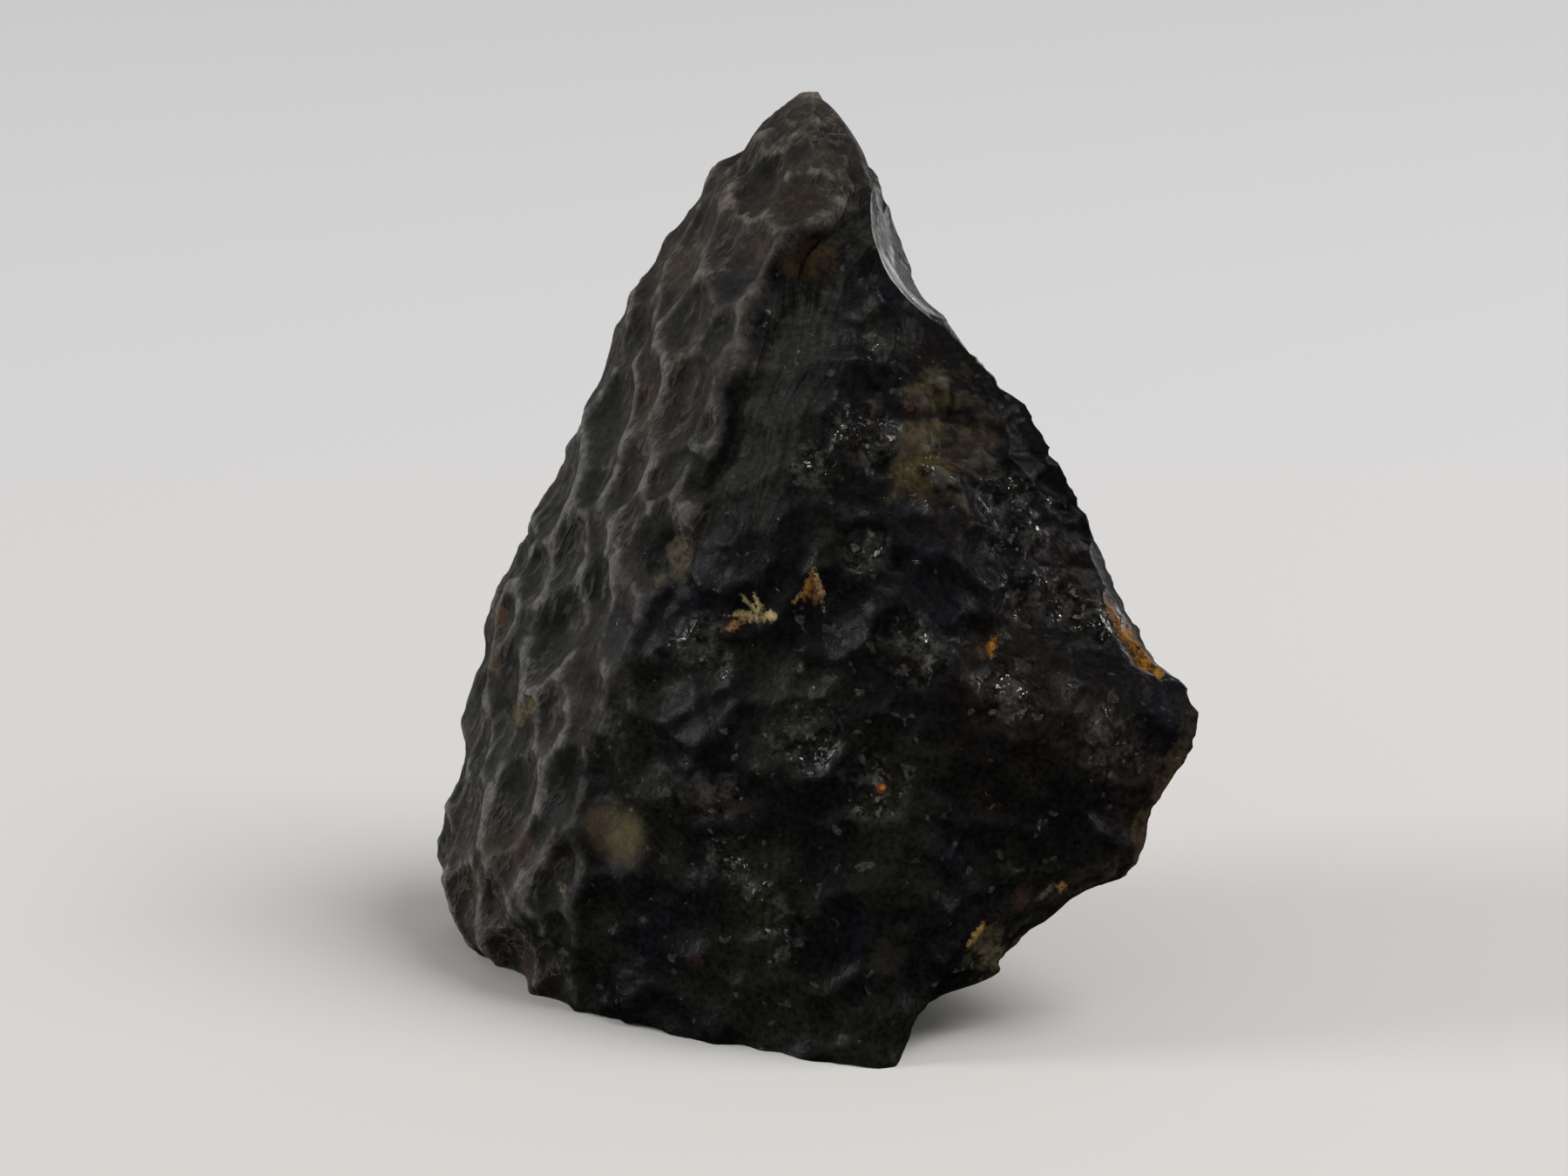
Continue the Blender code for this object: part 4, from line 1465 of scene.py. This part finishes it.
@dataclass(frozen=True)
class OldGlass:
    """The old surface: matte grey where weathered, glossy and nearly black on the front."""

    effects: Effects
    window: Window = Window()
    pit_colour: Colour = (0.0056, 0.0058, 0.0036)
    skin_colour: Colour = (0.0195, 0.0188, 0.0145)
    high_colour: Colour = (0.0320, 0.0255, 0.0180)
    dust_and_highlight_colour: Colour = (0.158, 0.152, 0.138)
    # The pale grey of the skin's rims, partly wear and partly painted highlight.
    high_dust_and_highlight: Colour = (0.150, 0.130, 0.106)
    earth_colour: Colour = (0.050, 0.034, 0.022)
    black: Colour = (0.0064, 0.0056, 0.0054)
    indigo: Colour = (0.0058, 0.0050, 0.0094)
    olive: Colour = (0.0128, 0.0132, 0.0072)
    brown: Colour = (0.0175, 0.0112, 0.0066)
    # Amber of the thin edges: painted light shining through the glass.
    through_light_amber: Colour = (0.0600, 0.0400, 0.0180)
    streak_colour: Colour = (0.0270, 0.0275, 0.0195)
    # Pale flecks and crests: painted glints on the front and painted highlight on the lumps of the clearer
    # patch.
    fleck_and_glint_colour: Colour = (0.1600, 0.1550, 0.1450)
    # Pale grey of the glinting clusters: partly crushed glass, partly painted glints.
    bruise_and_glint_colour: Colour = (0.1350, 0.1330, 0.1180)
    reflection: float = 0.4

    def material(self, stone: bpy.types.Object) -> bpy.types.Material:
        """Builds the finish.

        Args:
            stone: The stone, whose nearest point to each stain is the stain's middle.

        Returns:
            The material.
        """
        coat = Coat("old_glass")
        front = coat.mask("front")
        spots = coat.times(coat.span(coat.noise(1300.0, 1.0), 0.67, 0.73), front)
        glints = coat.most(coat.mask("glinting"), spots)
        wrinkles = self.wrinkles(coat)
        colour = coat.mix(front, self.skin_paint(coat, wrinkles), self.front_paint(coat, spots))
        colour, soil = self.soil(coat, self.clear_patch(coat, colour, stone), stone)
        rough = self.roughness(coat, glints, soil)
        normal = coat.bump(self.relief(coat, glints, soil, wrinkles), MM, 1.0)
        return coat.finished(colour, rough, self.reflection, Normal=normal)

    def wrinkles(self, coat: Coat) -> Socket:
        """Thin broken lines drawn out along the skin's cups.

        Args:
            coat: The material's graph.

        Returns:
            How much of a line lies at each place.
        """
        drawn = coat.drawn_out(SKIN_LEAN, 0.30)
        level = coat.minus(coat.noise(800.0, 3.0, 0.6, drawn), 0.5)
        lines = coat.span(coat.math("ABSOLUTE", level), 0.0, 0.055, 1.0, 0.0)
        return coat.times(lines, coat.span(coat.noise(330.0), 0.36, 0.56))

    def skin_paint(self, coat: Coat, wrinkles: Socket) -> Socket:
        """Paints the weathered skin: darker in the cups and pale grey on their rims, partly wear and partly
        painted shade and highlight.

        Args:
            coat: The material's graph.
            wrinkles: How much of a wrinkle lies at each place.

        Returns:
            The colour.
        """
        mottle = self.effects.mottle
        high = coat.span(coat.axis("Z"), 0.024, 0.034)
        skin = coat.mix(high, self.skin_colour, self.high_colour)
        patches = coat.group(mottle, Scale=260.0, Level=0.46, Soft=0.25)
        earth = coat.group(mottle, Scale=170.0, Level=0.50, Soft=0.16)
        earth = coat.times(earth, coat.span(high, 0.0, 1.0, 0.45, 0.85))
        ground = coat.mix(earth, coat.mix(patches, self.pit_colour, skin), self.earth_colour)
        # Pale grey on the skin, partly wear and partly painted light: lighter on crests and broad rises
        # (painted highlight), darker in broad hollows (painted shade), lighter on faces turned up and on the
        # left-facing limb (painted highlight and sheen).
        dust_and_highlight = coat.plus(
            coat.times(coat.span(coat.mask("crease"), -0.25, 1.0), 0.28),
            coat.times(coat.span(coat.mask("facing_up"), 0.0, 0.9), 0.10),
            coat.times(coat.span(coat.mask("ridge"), 0.18, 0.95), 0.76),
            coat.times(wrinkles, 0.34),
            coat.times(coat.mask("limb"), 0.20),
        )
        fine = coat.noise(2600.0, 4.0, 0.65, coat.drawn_out(SKIN_LEAN, 0.30))
        dust_and_highlight_share = coat.math("MULTIPLY", dust_and_highlight, coat.span(fine, 0.32, 0.66, 0.45, 1.10), clamp=True)
        paint = coat.mix(dust_and_highlight_share, ground, coat.mix(high, self.dust_and_highlight_colour, self.high_dust_and_highlight))
        return self.specked(coat, paint, 0.03, 0.35, 0.72)

    def specked(
        self, coat: Coat, paint: Socket, amount: float, strength: float, darkest: float
    ) -> Socket:
        """Darkens a colour in fine specks and lays small pale flecks over it, which on the front are painted
        glints.

        Args:
            coat: The material's graph.
            paint: The colour.
            amount: The share of all places that may hold a fleck.
            strength: How strongly the flecks cover it.
            darkest: How dark the darkest specks are.

        Returns:
            The specked colour.
        """
        fine = coat.span(coat.noise(3600.0, 3.0, 0.6), 0.36, 0.64, darkest, 1.12)
        # On the front these pale flecks are painted glints.
        flecks = coat.group(self.effects.flecks, Scale=3600.0, Amount=amount, Size=0.42)
        flecks = coat.times(flecks, strength)
        return coat.mix(flecks, coat.vector("MULTIPLY", paint, fine), self.fleck_and_glint_colour)

    def front_paint(self, coat: Coat, spots: Socket) -> Socket:
        """Paints the glossy front: black, with indigo, olive and brown in places, amber painted light
        shining through its thin lower edges, and pale painted glints, partly crushed glass, in its clusters.

        Args:
            coat: The material's graph.
            spots: How much of a single glossy spot lies at each place, which gets a pale painted glint.

        Returns:
            The colour.
        """
        mottle = self.effects.mottle
        right, up = coat.axis("X"), coat.axis("Z")
        blue = coat.group(mottle, Scale=110.0, Level=0.46, Soft=0.14)
        paint = coat.mix(blue, self.black, self.indigo)
        shifted = coat.vector("ADD", coat.where, (0.1, 0.3, 0.2))
        level = coat.span(up, 0.008, 0.022, 0.44, 0.54)
        green = coat.group(mottle, Coordinates=shifted, Scale=210.0, Level=level, Soft=0.14)
        paint = coat.mix(green, paint, self.olive)
        warm = coat.group(mottle, Coordinates=shifted, Scale=190.0, Level=0.42, Soft=0.22)
        paint = coat.mix(coat.times(coat.span(right, 0.002, 0.016), warm), paint, self.brown)
        paint = coat.mix(coat.span(self.streaks(coat), 0.22, 0.72), paint, self.streak_colour)
        # Amber on the thin lower right edges: painted light shining through the glass.
        low = coat.times(coat.span(up, 0.0015, 0.0040), coat.span(up, 0.016, 0.012))
        beside = coat.times(low, coat.span(right, 0.004, 0.008))
        thin = coat.times(coat.span(coat.mask("thin"), 0.25, 0.90), beside)
        paint = coat.mix(coat.times(thin, 0.9), paint, self.through_light_amber)
        # Pale grey in the glinting clusters and on the glossy spots: partly crushed glass, partly painted
        # glints.
        crushed = coat.span(coat.noise(1250.0, 2.0, 0.5), 0.44, 0.66, 0.06, 0.42)
        chips = coat.span(coat.noise(2100.0, 2.0, 0.55), 0.60, 0.68)
        bruise_and_glint = coat.times(coat.most(crushed, chips), coat.mask("glinting"))
        bruise_and_glint = coat.most(bruise_and_glint, coat.times(spots, 0.36))
        paint = coat.mix(coat.times(bruise_and_glint, 0.85), paint, self.bruise_and_glint_colour)
        return self.specked(coat, paint, 0.012, 0.6, 0.45)

    def patch(
        self, coat: Coat, stone: bpy.types.Object, spot: Stain | Window, ragged: Socket, heart: float
    ) -> Socket:
        """Finds where a stain or the clearer patch lies.

        Args:
            coat: The material's graph.
            stone: The stone.
            spot: The stain or the patch.
            ragged: How far its border is moved at each place.
            heart: The share of its reach inside which it is whole.

        Returns:
            Shares from 0 to 1.
        """
        return coat.group(
            self.effects.stain,
            Centre=tuple(on_front(stone, spot.across, spot.up)),
            Reach=(spot.wide * MM, (spot.tall + spot.wide) * MM, spot.tall * MM),
            Turn=-math.radians(spot.lean),
            Ragged=ragged,
            Heart=heart,
        )

    def clear_patch(self, coat: Coat, colour: Socket, stone: bpy.types.Object) -> Socket:
        """Lays the clearer patch over the colour: olive and brown lumps with dark cracks between, and
        painted highlight on the crests of the lumps.

        Args:
            coat: The material's graph.
            colour: The colour without it.
            stone: The stone.

        Returns:
            The colour with it.
        """
        window = self.window
        warp = coat.add("ShaderNodeTexNoise", {"Vector": coat.where, "Scale": 700.0, "Detail": 3.0})
        bend = (0.0011, 0.0011, 0.0011)
        bent = coat.vector("MULTIPLY_ADD", warp.outputs["Color"], bend, coat.where)
        cells = {"Vector": bent, "Scale": 560.0}
        cracks = coat.add("ShaderNodeTexVoronoi", cells, feature="DISTANCE_TO_EDGE").outputs["Distance"]
        broken = coat.span(coat.noise(620.0, 2.0), 0.44, 0.58)
        whole = coat.most(coat.span(cracks, 0.0, 0.20), broken)
        right = coat.span(coat.axis("X"), 0.0055, 0.0090)
        tint = coat.math("ADD", coat.span(coat.noise(420.0, 2.0), 0.42, 0.58), right, clamp=True)
        lit = coat.span(coat.noise(1500.0, 4.0, 0.7), 0.30, 0.70, 0.35, 1.55)
        glass = coat.vector("MULTIPLY", coat.mix(tint, window.olive, window.brown), lit)
        glass = coat.mix(whole, window.crack, glass)
        # Painted highlight on the crests of the lumps.
        pale_and_lit = coat.times(coat.span(coat.mask("ridge"), 0.3, 1.0), 0.25)
        glass = coat.mix(pale_and_lit, glass, self.fleck_and_glint_colour)
        ragged = coat.times(coat.minus(warp.outputs["Fac"], 0.5), 1.6)
        patch = self.patch(coat, stone, window, ragged, 0.62)
        return coat.mix(coat.times(patch, 0.92), colour, glass)

    def soil(self, coat: Coat, colour: Socket, stone: bpy.types.Object) -> tuple[Socket, Socket]:
        """Lays every stain over the colour, the patches of painted shade among them.

        Args:
            coat: The material's graph.
            colour: The clean colour.
            stone: The stone.

        Returns:
            The soiled colour, and how much soil lies at each place.
        """
        total = 0.0
        fine = coat.span(coat.noise(3000.0, 4.0, 0.7), 0.34, 0.60, 0.30, 1.0)
        wide_clouds = coat.minus(coat.noise(1100.0, 5.0, 0.75), 0.5)
        fibres = coat.minus(coat.noise(3800.0, 4.0, 0.75), 0.5)
        for stain in STAINS:
            clouds = fibres if stain.wide < NARROW else wide_clouds
            ragged = coat.times(clouds, stain.ragged * 2.2)
            patch = self.patch(coat, stone, stain, ragged, 0.45 if stain.ragged > 0.5 else 0.0)
            patch.node.label = stain.name
            grain = coat.span(fine, 0.0, 1.0, 1.0 - min(stain.ragged, 1.0), 1.0)
            share = coat.times(patch, grain, stain.strength)
            colour = coat.mix(share, colour, stain.colour)
            total = coat.most(total, share)
        return colour, total

    def streaks(self, coat: Coat) -> Socket:
        """Draws fine streaks along the flow of the glass, below the brow.

        Args:
            coat: The material's graph.

        Returns:
            How much of a streak lies at each place.
        """
        inputs = {"X": coat.times(coat.mask("lines"), 3.2), "Y": coat.times(coat.axis("Z"), 160.0)}
        place = coat.add("ShaderNodeCombineXYZ", inputs).outputs[0]
        return coat.times(coat.noise(1.0, 3.0, 0.6, place), coat.mask("flow"))

    def roughness(self, coat: Coat, glints: Socket, soil: Socket) -> Socket:
        """Finds how rough the surface is: matte on the skin and the soil, glossy on the front.

        Args:
            coat: The material's graph.
            glints: How much each place glints.
            soil: How much soil lies there.

        Returns:
            The roughness.
        """
        front = coat.mask("front")
        fine = coat.noise(2200.0, 3.0, 0.6)
        quiet = coat.span(fine, 0.32, 0.62, 0.40, 0.54)
        gloss = coat.minus(coat.span(fine, 0.38, 0.64, 0.06, 0.19), quiet)
        polished = coat.plus(coat.times(gloss, glints), quiet)
        rough = coat.plus(
            coat.times(polished, coat.span(front, 0.0, 1.0, 1.0, 0.92)),
            coat.times(coat.minus(1.0, front), 0.22),
            coat.times(coat.mask("flow"), 0.12),
        )
        return coat.math("ADD", rough, coat.times(soil, 0.5), clamp=True)

    def relief(self, coat: Coat, glints: Socket, soil: Socket, wrinkles: Socket) -> Socket:
        """Adds up the fine grain: soft on the skin, sharp in the glinting clusters of the front.

        Args:
            coat: The material's graph.
            glints: How much each place glints.
            soil: How much soil lies there.
            wrinkles: How much of a wrinkle lies there.

        Returns:
            The height, in millimetres.
        """
        coarse = coat.group(self.effects.grit, Scale=1300.0, Pits=0.12)
        fine = coat.group(self.effects.grit, Scale=3000.0, Pits=0.10)
        grain = coat.plus(coat.times(coarse, 0.060), coat.times(fine, 0.034))
        grain = coat.times(grain, coat.plus(soil, 1.0))
        broad = coat.times(coat.noise(1150.0, 2.0), 0.150)
        facets = coat.plus(broad, coat.times(coat.noise(2700.0, 1.0), 0.075))
        return coat.plus(
            coat.times(facets, coat.span(glints, 0.0, 1.0, 0.30, 1.0)),
            coat.times(grain, coat.minus(1.0, coat.times(glints, 0.8))),
            coat.times(self.streaks(coat), 0.09),
            coat.times(wrinkles, coat.minus(1.0, coat.mask("front")), 0.060),
        )


@dataclass(frozen=True)
class FreshGlass:
    """A fresh break: smooth black glass with fine ripples, olive where it is thin (painted light shining
    through) and in a band halfway up (a painted reflection).
    """

    effects: Effects
    black: Colour = (0.006, 0.006, 0.0065)
    olive: Colour = (0.046, 0.047, 0.033)

    def material(self) -> bpy.types.Material:
        """Builds the finish.

        Returns:
            The material.
        """
        coat = Coat("fresh_glass")
        height = coat.axis("Z")
        patches = coat.group(self.effects.mottle, Scale=190.0, Level=0.45, Soft=0.2)
        # Olive where the break is thin (painted light shining through) and in a band halfway up (painted
        # reflection), over random olive patches.
        thin = coat.span(coat.mask("thin"), 0.20, 0.80)
        middle = coat.times(coat.span(height, 0.012, 0.015), coat.span(height, 0.026, 0.023))
        pale_and_lit = coat.most(coat.times(patches, 0.5), coat.most(thin, middle))
        hackles = coat.group(self.effects.grit, Scale=700.0, Pits=0.1)
        rough = coat.span(patches, 0.0, 1.0, 0.07, 0.16)
        colour = coat.mix(pale_and_lit, self.black, self.olive)
        return coat.finished(colour, rough, Normal=coat.bump(hackles, 0.02 * MM, 0.4))


@dataclass(frozen=True)
class FootGlass:
    """The broken foot: dull, scuffed glass with pale grit in its low places."""

    effects: Effects
    dark: Colour = (0.018, 0.017, 0.015)
    scuffed: Colour = (0.085, 0.080, 0.070)

    def material(self) -> bpy.types.Material:
        """Builds the finish.

        Returns:
            The material.
        """
        coat = Coat("foot_glass")
        patches = coat.group(self.effects.mottle, Scale=600.0, Level=0.45, Soft=0.2)
        rise = coat.group(self.effects.grit, Scale=1600.0, Pits=0.6)
        rough = coat.span(patches, 0.0, 1.0, 0.45, 0.8)
        colour = coat.mix(patches, self.dark, self.scuffed)
        return coat.finished(colour, rough, Normal=coat.bump(rise, 0.06 * MM, 0.8))


def on_front(stone: bpy.types.Object, across: float, up: float) -> Vector:
    """Finds the point of the stone's front at a place in the face frame.

    Args:
        stone: The stone.
        across: The place across, in millimetres.
        up: The place up the face, in millimetres.

    Returns:
        The point, or the nearest one where the place lies beside the stone.
    """
    start = leaned() @ (Vector((across, BEFORE_FACE, up)) * MM)
    hit, place, _, _ = stone.ray_cast(start, leaned().to_3x3() @ Vector((0, 1, 0)))
    if hit:
        return place
    return stone.closest_point_on_mesh(leaned() @ (Vector((across, BEHIND_FACE, up)) * MM))[1]


@dataclass(frozen=True)
class Lamp:
    """A soft rectangular light: where it stands, its size, its power and its colour."""

    name: str
    place: tuple[float, float, float]
    wide: float
    tall: float
    power: float
    colour: Colour = (1.0, 1.0, 1.0)
    glints: bool = True
    shade: bool = True

    def build(self, target: Vector) -> None:
        """Stands the light in its place.

        Args:
            target: The point that it faces.
        """
        data = bpy.data.lights.new(self.name, "AREA")
        data.shape = "RECTANGLE"
        data.size = self.wide
        data.size_y = self.tall
        data.energy = self.power
        data.color = self.colour
        lamp = linked(self.name, data)
        lamp.location = self.place
        lamp.rotation_mode = "QUATERNION"
        lamp.rotation_quaternion = (target - lamp.location).to_track_quat("-Z", "Y")
        lamp.visible_camera = False
        lamp.visible_glossy = self.glints
        lamp.visible_diffuse = self.shade


WARM_LIGHT: Colour = (1.0, 0.98, 0.95)

LAMPS = (
    Lamp("overhead", (0.30, -0.02, 0.52), 0.30, 0.30, 2.20, (1.0, 0.995, 0.985), glints=False),
    Lamp("left_wall", (-0.60, -0.02, 0.26), 0.20, 0.20, 1.70, (1.0, 0.995, 0.98), glints=False),
    Lamp("left_sheen", (-0.45, 0.06, 0.34), 0.05, 0.05, 0.22, (0.98, 0.99, 1.0), shade=False),
    Lamp("glint_above", (-0.06, 0.10, 0.60), 0.028, 0.028, 0.44, WARM_LIGHT, shade=False),
    Lamp("glint_left", (-0.55, 0.00, 0.24), 0.022, 0.022, 0.30, (0.98, 0.98, 1.0), shade=False),
    Lamp("glint_right", (0.55, 0.02, 0.24), 0.022, 0.022, 0.27, WARM_LIGHT, shade=False),
    Lamp("glint_front_left", (-0.25, -0.35, 0.45), 0.022, 0.022, 0.026, WARM_LIGHT, shade=False),
    Lamp("glint_front_right", (0.30, -0.35, 0.42), 0.022, 0.022, 0.026, WARM_LIGHT, shade=False),
    Lamp("glint_low_left", (-0.35, -0.40, 0.16), 0.022, 0.022, 0.022, WARM_LIGHT, shade=False),
    Lamp("glint_low_right", (0.38, -0.38, 0.20), 0.022, 0.022, 0.022, WARM_LIGHT, shade=False),
    Lamp("glint_high", (0.02, -0.25, 0.58), 0.022, 0.022, 0.026, WARM_LIGHT, shade=False),
    Lamp("left_back", (-0.30, 0.35, 0.15), 0.30, 0.30, 0.14, (1.0, 1.0, 1.0), shade=False),
    Lamp("card_behind", (0.09, 0.14, 0.03), 0.12, 0.06, 0.072, (1.0, 1.0, 1.0), shade=False),
)


@dataclass(frozen=True)
class Studio:
    """The pale floor, the soft lights and the camera."""

    floor_reach: float = 1.2
    near_colour: Colour = (0.755, 0.740, 0.705)
    far_colour: Colour = (0.755, 0.750, 0.750)
    floor_rough: float = 0.9
    room_colour: Colour = (0.96, 0.96, 1.0)
    room_strength: float = 0.30
    lamp_target: tuple[float, float, float] = (0.0, 0.0, 0.015)
    lens: float = 150.0
    sensor: float = 36.0
    view_wide: float = 72.0
    view_middle: tuple[float, float, float] = (-1.2, 4.0, 21.72)

    def build(self) -> None:
        """Lays the floor, hangs the lights and stands the camera."""
        self.lay_floor()
        for lamp in LAMPS:
            lamp.build(Vector(self.lamp_target))
        world = bpy.data.worlds.new("room")
        bpy.context.scene.world = world
        world.use_nodes = True
        background = world.node_tree.nodes["Background"]
        background.inputs["Color"].default_value = (*self.room_colour, 1.0)
        background.inputs["Strength"].default_value = self.room_strength
        world.cycles_visibility.glossy = False
        bpy.context.scene.view_settings.view_transform = "Standard"
        self.stand_camera()

    def lay_floor(self) -> None:
        """Lays a plain pale floor, which isn't part of the object."""
        bm = bmesh.new()
        bmesh.ops.create_grid(bm, x_segments=1, y_segments=1, size=self.floor_reach)
        floor = linked("floor", mesh_of(bm, "floor"))
        coat = Coat("pale_floor")
        far = coat.span(coat.axis("Y"), -0.01, 0.12)
        colour = coat.mix(far, self.near_colour, self.far_colour)
        floor.data.materials.append(coat.finished(colour, self.floor_rough, 0.0))
        floor.visible_glossy = False

    def stand_camera(self) -> None:
        """Stands the camera so that it looks straight at the leaned face, as in the photograph."""
        data = bpy.data.cameras.new("camera")
        data.lens = self.lens
        data.sensor_width = self.sensor
        data.clip_start = 0.005
        camera = linked("camera", data)
        away = self.view_wide * self.lens / self.sensor
        camera.location = leaned() @ ((Vector(self.view_middle) - Vector((0, away, 0))) * MM)
        camera.rotation_euler = (math.radians(90) - FACE_LEAN, 0, 0)
        bpy.context.scene.camera = camera


def main() -> None:
    """Builds the stone, dresses it and sets up the studio."""
    logging.basicConfig(level=logging.INFO, format="%(message)s")
    stone = Stone(Skin(), Wear(), Breaks()).build()
    effects = Effects.build()
    stone.data.materials.clear()
    for material in (
        OldGlass(effects).material(stone),
        FreshGlass(effects).material(),
        FootGlass(effects).material(),
    ):
        stone.data.materials.append(material)
    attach(stone, "root")
    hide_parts("tektite")
    stone.data.calc_loop_triangles()
    LOG.info("tektite_stone: %d triangles", len(stone.data.loop_triangles))
    Studio().build()


if __name__ == "__main__":
    main()
